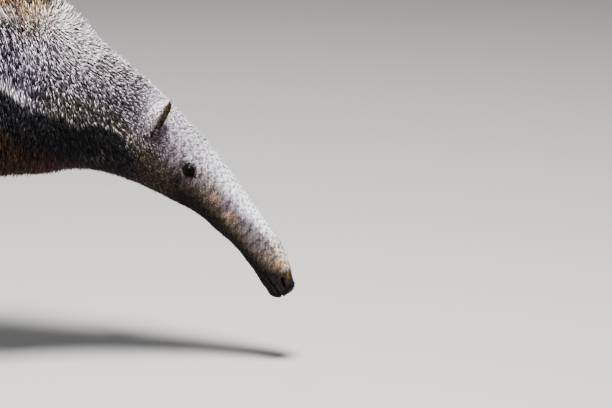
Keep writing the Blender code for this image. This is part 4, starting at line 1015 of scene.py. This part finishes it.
def scatter(grid, closed, density):
    """Random roots over a grid, that many for each square metre: place, normal, row and column."""
    turned = np.roll(grid, -1, axis=1)
    a, b, c, d = grid[:-1], turned[:-1], turned[1:], grid[1:]
    along, around = (c + d - a - b) / 2, (b + c - a - d) / 2
    cross = np.cross(around, along)
    expected = np.linalg.norm(cross, axis=2) * density((a + b + c + d) / 4)
    if not closed:
        expected[:, -1] = 0
    count = np.floor(expected + rng.random(expected.shape)).astype(int)
    cell = np.repeat(np.arange(count.size), count.ravel())
    row, column = np.divmod(cell, grid.shape[1])
    s, t = rng.random((2, len(cell)))[..., None]
    place = in_cell(*(corner[row, column] for corner in (a, b, c, d)), s, t)
    normal = unit(cross[row, column])
    normal = normal * np.sign(dot(normal, place - grid.mean(1)[row]).sum())
    return place, normal, (row + s[:, 0]) / (len(grid) - 1), (column + t[:, 0]) / grid.shape[1]


def settle(tree, place, normal, *others):
    """Moves the roots onto the skin, and drops those that lie deep inside it."""
    found = [tree.find_nearest(Vector(at), SETTLE_REACH) for at in place.tolist()]
    kept = np.array([hit[0] is not None for hit in found])
    at, facing = (np.array([hit[k][:] for hit in found if hit[0] is not None]) for k in (0, 1))
    away = dot(facing, normal[kept]) > 0.2
    chosen = np.flatnonzero(kept)[away]
    return (at[away], unit(normal[kept] + facing)[away], *(other[chosen] for other in others))


def along_curve(start, bend, tip, t):
    """Point and direction of a quadratic curve."""
    middle = start * (1 - t) ** 2 + bend * (2 * t * (1 - t)) + tip * t**2
    return middle, unit((bend - start) * (1 - t) + (tip - bend) * t)


def tuft_piece(name, slot, tufts, rings, fade):
    """A piece of closed, three-sided tufts along quadratic curves, with their colours and the bake map."""
    start, base, end = tufts.start, tufts.root_colour, tufts.tip_colour
    bend = start + tufts.leave * (tufts.long * 0.5)[:, None]
    tip = bend + tufts.end * (tufts.long * 0.5)[:, None]
    for place in (bend, tip):
        place[:, 2] = np.maximum(place[:, 2], HAIR_LOWEST)
    count = len(start)
    size = rings * 3 + 2
    points, shades = np.empty((count, size, 3)), np.empty((count, size, 3))
    points[:, 0], shades[:, 0] = start, base
    for k in range(rings):
        t = (k + 0.5) / rings
        middle, way = along_curve(start, bend, tip, t)
        side = unit(np.cross(way, tufts.out))
        thick = np.cross(side, way)
        half = (tufts.wide * (0.36 + 0.42 * t - 0.50 * t * t))[:, None]
        points[:, k * 3 + 1] = middle + side * half
        points[:, k * 3 + 2] = middle - side * half
        points[:, k * 3 + 3] = middle + thick * half * 0.8
        shades[:, k * 3 + 1 : k * 3 + 4] = mix(base, end, np.full(count, t**fade))[:, None]
    points[:, -1], shades[:, -1] = tip, end
    pairs = ((1, 2), (2, 3), (3, 1))
    faces = [(0, b, a) for a, b in pairs]
    for low in range(0, (rings - 1) * 3, 3):
        for a, b in pairs:
            faces += [(low + a, low + b, low + b + 3), (low + a, low + b + 3, low + a + 3)]
    faces += [((rings - 1) * 3 + a, (rings - 1) * 3 + b, size - 1) for a, b in pairs]
    corners = (np.arange(count)[:, None, None] * size + np.array(faces)).reshape(-1)
    mesh = bpy.data.meshes.new(name)
    mesh.vertices.add(count * size)
    mesh.vertices.foreach_set("co", points.astype(np.float32).ravel())
    mesh.loops.add(len(corners))
    mesh.loops.foreach_set("vertex_index", corners.astype(np.int32))
    mesh.polygons.add(len(corners) // 3)
    mesh.polygons.foreach_set("loop_start", np.arange(0, len(corners), 3, dtype=np.int32))
    mesh.update(calc_edges=True)
    layer = mesh.uv_layers.new(name="OFBake")
    local = [(PATCH * (k + 0.5) / rings, PATCH * (j - 1) / 2) for k in range(rings) for j in range(3)]
    local = np.array([(0, 0)] + local + [(PATCH, 0)])
    uv = (tufts.patch[:, None] * (1 - 2 * PATCH) + PATCH + local[None]).reshape(-1, 2)[corners]
    layer.data.foreach_set("uv", uv.astype(np.float32).ravel())
    made = add_object(name, mesh)
    paint(made, shades.reshape(-1, 3))
    dress(made, "hair", slot)


def on_surface(way, n):
    """A direction without its part across the surface."""
    return way - n * dot(way, n)[:, None]


def flow_on_trunk(p, n):
    """Lie of the coat on the trunk: away from the parting on neck and shoulders, then back and down."""
    flat = to_left(p)
    line = unit(np.array(WHORL_BACK) - WHORL)
    behind = np.maximum((flat - WHORL) @ line, 0)
    aside = flat - WHORL - line * behind[:, None]
    above = ramp(aside[:, 2], -0.006, 0.010)
    lean = WHORL_LEAN * np.linalg.norm(aside, axis=1) * (1 - above) * ramp(behind, 0, 0.02)
    behind = behind * (1 - 0.55 * above) + lean
    radial = unit((flat - WHORL - line * behind[:, None]) * side_factors(p))
    radial = radial + rng.normal(0, PARTING_RUFFLE, (len(p), 3)) * parting(p)[:, None]
    for axis, sign, (turn, place) in ((2, -1, HANGING), (0, 1, SWEPT)):
        radial[:, axis] += sign * turn * spot(p[:, 0], seen_height(p), *place)
    low = ramp(p[:, 2], 0.56, 0.36)
    body = np.stack([np.full(len(p), -1.0), 0 * low, -0.25 - 0.65 * low], axis=1)
    return on_surface(mix(radial, unit(body), ramp(p[:, 0], 0.50, 0.34)), n)


def hair_colours(place, reach, look):
    """Colours of each tuft's root and tip, and which tufts stay dark: they stand in small clumps."""
    root, tip, dark = coat_colours(mix(place, reach, np.full(len(place), 0.75)))
    clump = waves(place, look.clump, 41) * (1 + 0.9 * ramp(place[:, 0], 0.74, 0.80))
    plain = rng.random(len(place)) < dark + CLUMPING * clump
    tip = np.where(plain[:, None], root * 0.9 + tip * 0.07, tip)
    root = np.where(plain[:, None], root * 0.7, root * 0.7 + tip * 0.06)
    shine = np.exp(rng.normal(0, look.contrast, len(place)))[:, None]
    return root * (1 + (shine - 1) * 0.5), np.clip(tip * shine, 0, 1), plain


def lifted(flow, lift):
    """Lie of a short coat: along the flow, raised by an angle that eases towards the tip."""

    def lie(p, n):
        way = unit(flow(p, n))
        angle = (lift(p) * rng.choice(LIFTS, len(p)) * rng.uniform(0.85, 1.15, len(p)))[:, None]
        eased = angle * 0.45
        return way * np.cos(angle) + n * np.sin(angle), way * np.cos(eased) + n * np.sin(eased)

    return lie


def coat_piece(name, slot, growths, look, tree):
    """One piece of coat, with its roots on the skin under the grids it grows on."""
    gathered = []
    for growth in growths:
        place, normal, row, column = settle(tree, *scatter(growth.grid, growth.closed, look.density))
        patch = np.array(growth.corner) + np.stack([row, column], axis=1) * growth.size
        gathered.append((place, normal, *growth.lie(place, normal), patch))
    place, normal, leave, end, patch = (np.concatenate(part) for part in zip(*gathered))
    sway = np.stack([waves(place, SWAY_SCALE, seed) for seed in (31, 32, 33)], axis=1) * look.stray
    stray = sway + rng.normal(0, look.stray, (len(place), 3))
    stray = stray - normal * np.minimum(dot(stray, normal), 0)[:, None]
    leave, end = unit(leave + stray * 0.6), unit(end + stray)
    long = look.length(place, normal) * rng.uniform(*LENGTH_SPREAD, len(place))
    wide = look.width(place) * rng.uniform(*WIDTH_SPREAD, len(place))
    root, tip, plain = hair_colours(place, place + (leave + end) * (long * 0.42)[:, None], look)
    on_head = ramp(place[:, 0], 0.77, 0.81)
    long = long * np.where(plain, 0.95 + 0.50 * on_head, 1.04 - 0.20 * on_head)
    start = place - normal * (wide * 0.5)[:, None]
    tufts = Tufts(start, leave, end, long, wide, normal, root, tip, patch)
    tuft_piece(name, slot, tufts, look.rings, look.fade)


def unless_turned(value):
    """A length that takes no notice of which way the skin faces."""
    return lambda p, n: value(p)


def trunk_growth(first, last, spacing, columns, lie, arc=(0, 360)):
    """The trunk between two stations, round the part of its section between two turns (90 is the back)."""
    stations = even_stations(first, last, spacing)
    closed = arc[1] - arc[0] == 360
    turns = np.radians(np.linspace(*arc, columns, endpoint=not closed))
    return Growth(trunk_points(stations, turns), closed, lie, (0, 0), (1, 1))


def limb_growth(kind, side, corner, size):
    """A limb's coat, which lies down the leg and forwards on the foot."""

    def flow(p, n):
        return on_surface(np.tile(FOOT_FLOW if kind == "foot" else LEG_FLOW, (len(p), 1)), n)

    grid = limb_points(kind, side, *LEG_COAT_GRID)
    return Growth(grid, True, lifted(flow, everywhere(LEG_LIFT)), corner, size)


def clear_of_face(p):
    """0 where the head is bare: eyes, nostrils, lips and nose; 1 elsewhere."""
    flat = p.reshape(-1, 3)
    keep = 1 - pad_share(flat)
    for side in SIDES:
        u, v, w = in_eye_frame(flat, side)
        r = np.sqrt((u / EYE_BARE[0]) ** 2 + ((v + EYE_BARE_DROP) / EYE_BARE[1]) ** 2)
        keep = keep * (1 - ramp(r, 1.05, 0.95) * (w > EYE_BESIDE))
        keep = keep * ramp(nostril_distance(flat, side)[0], 0.0016, 0.0028)
    return keep.reshape(p.shape[:-1])


def turn_of(n):
    """Turn of a normal in the section, from 0 at the side to 90 at the top."""
    return np.degrees(np.arctan2(n[:, 2], np.abs(n[:, 1])))


def tail_lie(p, n):
    """The tail's hair leaves it backwards and outwards, and hangs."""
    leave, end = (read_rows(TAIL_HAIR, field, turn_of(n)) for field in ("leave", "end"))
    last = ramp(p[:, 0], -0.78, -0.86)[:, None]
    end = end * (1 - last) + np.array(TAIL_TIP_WAY) * last
    return unit(leave * side_factors(p)), unit(end * side_factors(p))


def tail_length(p, n):
    long = read_rows(TAIL_HAIR, "length", turn_of(n))
    return long * (1 - 0.40 * ramp(p[:, 0], -0.70, -0.86)) * (1 - 0.25 * ramp(p[:, 0], -0.34, -0.27))


def mane_lie(p, n):
    """The mane rises from the back and lies backwards; in front of the whorl it bristles forwards."""
    leave, end = (read_rows(MANE_HAIR, field, p[:, 0]) for field in ("leave", "end"))
    out = n[:, 1] * 0.45
    leave = unit(np.stack([leave[:, 0], out, leave[:, 1]], axis=1))
    end = unit(np.stack([end[:, 0], out * 0.4, end[:, 1]], axis=1))
    apart = np.maximum(ramp(p[:, 0], 0.60, 0.45), ramp(p[:, 0], 0.600, 0.625))
    beside = ramp(np.abs(n[:, 1]), 0.20, 0.62) * apart
    flow = unit(flow_on_trunk(p, n))
    return unit(mix(leave, flow + n * 0.30, beside)), unit(mix(end, flow + n * 0.06, beside))


def mane_length(p, n):
    long = read_rows(MANE_HAIR, "length", p[:, 0]) * rng.uniform(0.75, 1.0, len(p))
    return long * (1 - 0.30 * ramp(np.abs(n[:, 1]), 0.30, 0.70) * ramp(p[:, 0], 0.60, 0.45))


def leg_length(p, n):
    """Short at the foot, longer above, and longest behind."""
    long = 0.006 + 0.020 * ramp(p[:, 2], 0.04, 0.14) + 0.016 * ramp(p[:, 2], 0.14, 0.34)
    return long + 0.055 * ramp(-n[:, 0], 0.1, 0.9) * ramp(p[:, 2], 0.10, 0.26)


def near_ear(p):
    """1 at the root of an ear, falling to 0 round it."""
    return bell(np.linalg.norm(to_left(p) - EAR_ROOT, axis=-1), 0, 0.017)


def head_length(p, n):
    rows = ((0.70, 0.0092), (0.75, 0.0056), (0.80, 0.0034), (0.86, 0.0028), (0.93, 0.0025), (0.99, 0.0022))
    return along_x(*rows)(p) * (1 + 1.1 * near_ear(p))


def head_lift(p):
    return along_x((0.99, 0.18), (0.85, 0.24), (0.75, 0.30), (0.70, 0.34))(p) + 0.55 * near_ear(p)


def neck_lift(p):
    return along_x((0.74, 0.30), (0.60, 0.36), (0.42, 0.30))(p) + 0.45 * parting(p)


def face_density(p):
    """Hairs for each square metre of the head, fewer towards its back."""
    return HEAD_HAIRS * clear_of_face(p) * (1 - 0.28 * ramp(p[..., 0], 0.90, 0.76))


def build_coat(tree):
    """Every piece of coat, in the order of the table."""
    on_head, on_neck = lifted(flow_on_trunk, head_lift), lifted(flow_on_trunk, neck_lift)
    on_body = lifted(flow_on_trunk, everywhere(BODY_LIFT))
    head_look = Look(
        density=face_density,
        length=head_length,
        width=along_x((0.99, 0.0010), (0.90, 0.0011), (0.80, 0.0013), (0.70, 0.0014)),
        rings=1, contrast=0.52, fade=0.5, stray=0.26, clump=0.0060,
    )
    neck_look = Look(
        density=along_x(
            (0.76, 350000), (0.68, 330000), (0.62, 250000), (0.56, 170000), (0.50, 100000), (0.46, 60000)
        ),
        length=unless_turned(
            along_x((0.74, 0.0085), (0.68, 0.012), (0.60, 0.015), (0.50, 0.021), (0.42, 0.034))
        ),
        width=along_x((0.74, 0.0013), (0.60, 0.0014), (0.52, 0.0016), (0.42, 0.0028)),
        rings=1, contrast=0.46, fade=0.5, stray=0.18, clump=0.0036,
    )
    body_look = Look(
        density=everywhere(20000),
        length=unless_turned(along_x((0.42, 0.042), (0.20, 0.066), (-0.10, 0.092), (-0.30, 0.090))),
        width=everywhere(0.0042),
        rings=3, contrast=0.22, fade=0.9, stray=0.10, clump=0.012,
    )
    leg_look = Look(
        density=lambda p: 26000 + 44000 * ramp(p[..., 2], 0.16, 0.05),
        length=leg_length,
        width=lambda p: 0.0013 + 0.0019 * ramp(p[..., 2], 0.04, 0.20),
        rings=2, contrast=0.22, fade=0.9, stray=0.10, clump=0.008,
    )
    mane_look = Look(
        density=along_x((0.70, 44000), (0.62, 34000), (0.56, 38000), (0.44, 31000), (-0.28, 31000)),
        length=mane_length,
        width=along_x((0.66, 0.0012), (0.54, 0.0015), (0.44, 0.0030), (-0.25, 0.0040)),
        rings=2, contrast=0.40, fade=1.0, stray=0.12, clump=0.0045,
    )
    tail_look = Look(
        density=everywhere(88000),
        length=tail_length,
        width=everywhere(0.0036),
        rings=4, contrast=0.25, fade=1.1, stray=0.11, clump=0.012,
    )
    forelegs = [limb_growth("fore", side, (0, 0.5 * k), (0.6, 0.49)) for k, side in enumerate(SIDES)]
    hindlegs = [limb_growth("hind", side, (0, 0.5 * k), (0.6, 0.49)) for k, side in enumerate(SIDES)]
    hindlegs += [limb_growth("foot", side, (0.62, 0.5 * k), (0.37, 0.49)) for k, side in enumerate(SIDES)]
    tail = (21.6, LAST + 0.8, 0.012, 24, tail_lie)
    for piece in (
        ("coat_head", "head_fur", [trunk_growth(-0.5, 9.0, 0.004, 96, on_head)], head_look),
        ("coat_nape", "neck_fur", [trunk_growth(8.9, 11.3, 0.008, 80, on_neck)], neck_look),
        ("coat_neck", "neck_fur", [trunk_growth(11.25, 13.0, 0.008, 80, on_neck)], neck_look),
        ("coat_shoulder", "neck_fur", [trunk_growth(12.95, 15.3, 0.008, 80, on_neck)], neck_look),
        ("coat_body", "body_fur", [trunk_growth(15.2, 22.6, 0.012, 72, on_body)], body_look),
        ("coat_forelegs", "foreleg_fur", forelegs, leg_look),
        ("coat_hindlegs", "hindleg_fur", hindlegs, leg_look),
        ("hair_mane", "body_fur", [trunk_growth(11.2, 21.6, 0.012, 18, mane_lie, MANE_ARC)], mane_look),
        ("hair_tail_right", "tail_hair", [trunk_growth(*tail, (90, 270))], tail_look),
        ("hair_tail_left", "tail_hair", [trunk_growth(*tail, (-90, 90))], tail_look),
    ):
        coat_piece(*piece, tree)


# Ears


def ear_points(side, rows, columns):
    """Middle sheet of an ear's cup: a grid of points from its root to its tip."""
    mirror, turn = SIDES[side], math.radians(EAR_TURN[side])
    table = [(*row.back, *row.edge, row.half_width, row.out) for row in EAR]
    table.append((*EAR_TIP, *EAR_TIP, 0.0006, EAR[-1].out))
    at = spline(table, np.linspace(0, len(table) - 1, rows))
    wrap = np.radians(EAR_WRAP) * np.linspace(-1, 1, columns) - math.radians(EAR_OPENING)
    ahead = (1 - np.cos(wrap))[None, :, None]
    flat = at[:, None, 0:2] + (at[:, None, 2:4] - at[:, None, 0:2]) * ahead * EAR_WIDENING
    x = flat[..., 0] * math.cos(turn) - flat[..., 1] * math.sin(turn)
    z = flat[..., 0] * math.sin(turn) + flat[..., 1] * math.cos(turn)
    out = -mirror * (at[:, None, 5] + at[:, None, 4] * np.sin(wrap)[None])
    return side_point(EAR_ROOT, mirror) + np.stack([x, out, z], axis=2)


def build_ear(side):
    """The cup of an ear, with its wall, a soft rim and its own short fur outside."""
    rows, columns = EAR_GRID
    sheet = ear_points(side, rows, columns)
    normal = unit(np.cross(np.gradient(sheet, axis=0), np.gradient(sheet, axis=1)))
    share = np.linspace(0, 1, rows)[:, None]
    edge = np.abs(np.linspace(-1, 1, columns))[None]
    half = EAR_WALL / 2 * (1 - 0.5 * share) * (1 - 0.45 * ramp(edge, 0.85, 1.0))
    outward = normal * np.sign((normal * (sheet - sheet.mean(1, keepdims=True))).sum(2).mean())
    outer, inner = sheet + outward * half[..., None], sheet - outward * half[..., None]
    points = np.concatenate([outer.reshape(-1, 3), inner.reshape(-1, 3)])
    shift, faces = rows * columns, []
    for r in range(rows - 1):
        for c in range(columns - 1):
            a = r * columns + c
            faces.append((a, a + 1, a + 1 + columns, a + columns))
            faces.append((a + shift, a + columns + shift, a + 1 + columns + shift, a + 1 + shift))
    around = [(r * columns + c, columns) for r in range(rows - 1) for c in (0, columns - 1)]
    around += [(r * columns + c, 1) for r in (0, rows - 1) for c in range(columns - 1)]
    faces += [(a, a + step, a + step + shift, a + shift) for a, step in around]
    made = closed_object(f"ear_cup_{side}", points, faces)
    # darker along the cup's edges and at its tip: painted shade at the rim
    rim = np.maximum(ramp(edge, 0.86, 0.97), ramp(share, 0.90, 0.99))
    mottle = waves(sheet.reshape(-1, 3), 0.005, 51).reshape(rows, columns)
    shade_out = mix("7d7478", "2a211c", rim)
    shade_in = mix(mix("2e2614", "8f7e50", ramp(mottle, -0.3, 0.8)), "1c1510", rim)
    # darker inside towards the root: painted shade deep in the cup
    shade_in = mix(shade_in, "1e1410", np.broadcast_to(ramp(share, 0.45, 0.15), rim.shape))
    paint(made, np.concatenate([shade_out.reshape(-1, 3), shade_in.reshape(-1, 3)]))
    dress(made, "skin", "ear_fur", f"ear_{side}")
    build_ear_fur(side, outer, outward)


def build_ear_fur(side, sheet, normal):
    """Short hair on the outside of an ear, towards its tip and over its edge."""
    rows, columns = EAR_GRID
    count = EAR_HAIRS
    r = np.clip(rng.beta(1.2, 1.2, count) * (rows - 1), 0, rows - 1.001)
    c = np.clip(rng.random(count) * (columns - 1), 0, columns - 1.001)
    i, j, s, t = r.astype(int), c.astype(int), (r % 1)[:, None], (c % 1)[:, None]

    def read(grid):
        return in_cell(grid[i, j], grid[i, j + 1], grid[i + 1, j + 1], grid[i + 1, j], s, t)

    place, facing = read(sheet), unit(read(normal))
    way = unit(read(np.gradient(sheet, axis=0)) + rng.normal(0, 0.0004, (count, 3)))
    share, across = r / (rows - 1), c / (columns - 1)
    long = EAR_HAIR_LENGTH * rng.uniform(0.7, 1.2, count) * (1 - 0.35 * share)
    # tufts darker along the ear's edges: painted shade at the rim, as on the cup
    rim = np.maximum(ramp(np.abs(across * 2 - 1), 0.74, 0.95), ramp(share, 0.90, 0.99) * 0.8)
    shine = np.exp(rng.normal(0, 0.30, count))[:, None]
    tip = mix(mix("9a9095", "d2c8d0", ramp(share, 0.30, 0.60)), "2e241e", rim)
    plain = rng.random(count) < 0.66 - 0.34 * ramp(share, 0.25, 0.60) + CLUMPING * waves(place, 0.004, 52)
    tip = np.clip(np.where(plain[:, None], tip * 0.14, tip) * shine, 0, 1)
    wide, patch = np.full(count, EAR_HAIR_WIDTH), np.stack([share, across], axis=1)
    leave, end = unit(way + facing * 0.35), unit(way + facing * 0.10)
    root = mix("2a2324", "120d0b", rim)
    tufts = Tufts(place - facing * 0.0004, leave, end, long, wide, facing, root, tip, patch)
    tuft_piece(f"coat_ear_{side}", "ear_fur", tufts, 1, 0.8)


# Eyes and claws


def build_eye(side):
    """The ball of an eye, nearly black, with a darker pupil."""
    centre, out, ahead, up = eye_frame(side)
    rows, columns = EYE_GRID
    points, faces = [centre + out * EYE_RADIUS], []
    for angle in math.pi * np.arange(1, rows) / rows:
        for turn in 2 * math.pi * np.arange(columns) / columns:
            round_it = ahead * math.cos(turn) + up * math.sin(turn)
            points.append(centre + (out * math.cos(angle) + round_it * math.sin(angle)) * EYE_RADIUS)
    points.append(centre - out * EYE_RADIUS)
    last, under = len(points) - 1, 1 + (rows - 2) * columns
    for c in range(columns):
        d = (c + 1) % columns
        faces.append((0, 1 + c, 1 + d))
        faces += [(a + c, a + columns + c, a + columns + d, a + d) for a in range(1, under, columns)]
        faces.append((under + c, last, under + d))
    made = mesh_object(f"eyeball_{side}", points, faces)
    away = np.degrees(np.arccos(np.clip(unit(np.array(points) - centre) @ out, -1, 1)))
    paint(made, mix(mix("0b0504", "050404", ramp(away, 24, 36)), "030202", ramp(away, 20, 15)))
    dress(made, "eyeball", "eye", f"eye_{side}")


def claw_mesh(kind, root, bend, tip, thickness, fall, power, flat):
    """A fine claw along a quadratic curve, rounded above and ridged below."""
    rings, sides = 18, 16
    grid = np.empty((rings, sides, 3))
    turns = np.linspace(0, 2 * math.pi, sides, endpoint=False)
    for k in range(rings):
        t = k / (rings - 1)
        at, way = along_curve(root, bend, tip, t)
        across = unit(np.cross(way, [0, 0, 1]))
        high = np.cross(across, way)
        radius = thickness * (1 - fall * t**power) * (1 + 0.05 * math.sin(t * 16) * (1 - t))
        wide = np.cos(turns) * flat * (1 - 0.18 * np.clip(-np.sin(turns), 0, 1))
        grid[k] = at + radius * (wide[:, None] * across + np.sin(turns)[:, None] * high)
    made = grid_body(f"nail_{kind}", grid)
    away = np.linalg.norm(vertex_array(made.data) - root, axis=1)
    share = np.clip(away / np.linalg.norm(tip - root), 0, 1)
    paint(made, mix("3a322c", "8a7c6a", ramp(share, 0.1, 0.95)))
    dress(made, "horn", "claw", f"claw_{kind}")


def build_claws():
    for side, mirror in SIDES.items():
        outward = np.array([1, mirror])
        for k, (at, radius, length, thickness) in enumerate(FORE_DIGITS, 1):
            root = hand_place(side) + [at[0], at[1] * mirror, at[2]] + [*(radius * outward * CLAW_ROOT), 0]
            bend = root + [*(length * outward * CLAW_BEND), -CLAW_DROP / 5]
            tip = root + [*(length * outward * CLAW_TIP), -CLAW_DROP]
            tip[2] = max(tip[2], CLAW_CLEAR)
            claw_mesh(f"fore_{side}_{k}", root, bend, tip, thickness, 0.93, 1.6, CLAW_FLATNESS)
        for k, (at, turn) in enumerate(hind_toes(side), 1):
            length, thickness = HIND_CLAW
            way = np.array([math.cos(turn), -math.sin(turn), 0])
            root = at + way * TOE_RADIUS * 0.6 + [0, 0, 0.001]
            bend = root + way * length * 0.6 + [0, 0, 0.002]
            tip = root + way * length
            tip[2] = HIND_CLAW_CLEAR
            claw_mesh(f"hind_{side}_{k}", root, bend, tip, thickness, 0.90, 1.5, 0.8)


# Materials

MATERIALS = {  # values of the shader; scale and two levels of the noise that breaks up the painted colour
    "hair": ({"Roughness": 0.60, "Specular IOR Level": 0.12}, (340.0, 0.55, 1.35)),
    "skin": ({}, (700.0, 0.55, 1.35)),
    "eyeball": ({"Roughness": 0.30, "Specular IOR Level": 0.02}, None),
    "horn": ({"Roughness": 0.38}, (420.0, 0.75, 1.2)),
}
WET_AND_DRY = {"Roughness": (0.22, 0.75), "Specular IOR Level": (0.07, 0.05)}  # of the skin
FLOOR_FINISH = {"Base Color": (*rgb("807f7d"), 1), "Roughness": 0.85}
PORES = {"Scale": 900.0, "Detail": 4.0}
PORE_BUMP = {"Strength": 0.6, "Distance": 0.0008}


def set_inputs(tree, node, inputs):
    """Gives each input of a node a value, or a link where that is a socket."""
    for name, value in inputs.items():
        if isinstance(value, bpy.types.NodeSocket):
            tree.links.new(value, node.inputs[name])
        else:
            node.inputs[name].default_value = value


def add_node(tree, kind, inputs, **settings):
    """A node with its settings and inputs; returns its outputs."""
    node = tree.nodes.new(f"ShaderNode{kind}")
    for name, value in settings.items():
        setattr(node, name, value)
    set_inputs(tree, node, inputs)
    return node.outputs


def add_noise(tree, inputs):
    place = add_node(tree, "TexCoord", {})["Object"]
    return add_node(tree, "TexNoise", {"Vector": place, **inputs})["Fac"]


def plain_material(name, values):
    """A material with these values of its shader."""
    made = bpy.data.materials.new(name)
    made.use_nodes = True
    set_inputs(made.node_tree, made.node_tree.nodes["Principled BSDF"], values)
    return made


def material(name):
    """A finish, made once: the painted colour broken up by a noise, and for the skin wetness and pores."""
    found = bpy.data.materials.get(name)
    if found is not None:
        return found
    values, streaks = MATERIALS[name]
    made = plain_material(name, values)
    tree = made.node_tree
    shader = tree.nodes["Principled BSDF"]
    painted = add_node(tree, "Attribute", {}, attribute_name="coat")
    colour = painted["Color"]
    if streaks:
        scale, low, high = streaks
        noise = add_noise(tree, {"Scale": scale, "Detail": 3.0})
        limits = {"From Min": 0.3, "From Max": 0.7, "To Min": low, "To Max": high}
        level = add_node(tree, "MapRange", {"Value": noise, **limits})["Result"]
        colour = add_node(tree, "VectorMath", {0: colour, "Scale": level}, operation="SCALE")["Vector"]
    set_inputs(tree, shader, {"Base Color": colour})
    if name == "skin":
        for socket, (wet, dry) in WET_AND_DRY.items():
            limits = {"To Min": wet, "To Max": dry}
            level = add_node(tree, "MapRange", {"Value": painted["Alpha"], **limits})["Result"]
            set_inputs(tree, shader, {socket: level})
        bump = add_node(tree, "Bump", {"Height": add_noise(tree, PORES), **PORE_BUMP})
        set_inputs(tree, shader, {"Normal": bump["Normal"]})
    return made


# Camera, floor and light


def build_stage():
    corners = [(x * FLOOR_HALF, y * FLOOR_HALF, 0) for x, y in ((-1, -1), (1, -1), (1, 1), (-1, 1))]
    floor = mesh_object("floor", corners, [(0, 1, 2, 3)])
    floor.data.materials.append(plain_material("floor", FLOOR_FINISH))
    turn = math.radians(CAMERA_ELEVATION)
    camera = add_object("camera", bpy.data.cameras.new("camera"))
    camera.data.lens = CAMERA_LENS
    camera.data.clip_end = 100
    back = Vector((0, -math.cos(turn), math.sin(turn)))
    camera.location = Vector(CAMERA_TARGET) + back * CAMERA_DISTANCE
    camera.rotation_euler = (-back).to_track_quat("-Z", "Y").to_euler()
    bpy.context.scene.camera = camera
    for name, at, size, power, colour in LAMPS:
        lamp = bpy.data.lights.new(name, "AREA")
        lamp.energy, lamp.size, lamp.color = power, size, colour
        light = add_object(name, lamp)
        light.location = at
        light.rotation_euler = (Vector(LAMPS_AIM) - Vector(at)).to_track_quat("-Z", "Y").to_euler()
    world = bpy.data.worlds.new("world")
    world.use_nodes = True
    tree = world.node_tree
    set_inputs(tree, tree.nodes["Background"], {"Color": SKY, "Strength": SKY_STRENGTH})
    bpy.context.scene.world = world


skin = build_skin()
shape_head(skin)
skin.data.materials.clear()
surface = vertex_array(skin.data)
paint(skin, skin_colours(surface), skin_dryness(surface))
dress(
    skin, "skin", "body_fur", "head", "neck", "torso", "tail",
    "leg_fore_right", "leg_fore_left", "leg_hind_right", "leg_hind_left",
)
build_coat(BVHTree.FromObject(skin, bpy.context.evaluated_depsgraph_get()))
for side in SIDES:
    build_ear(side)
    build_eye(side)
build_claws()
build_stage()
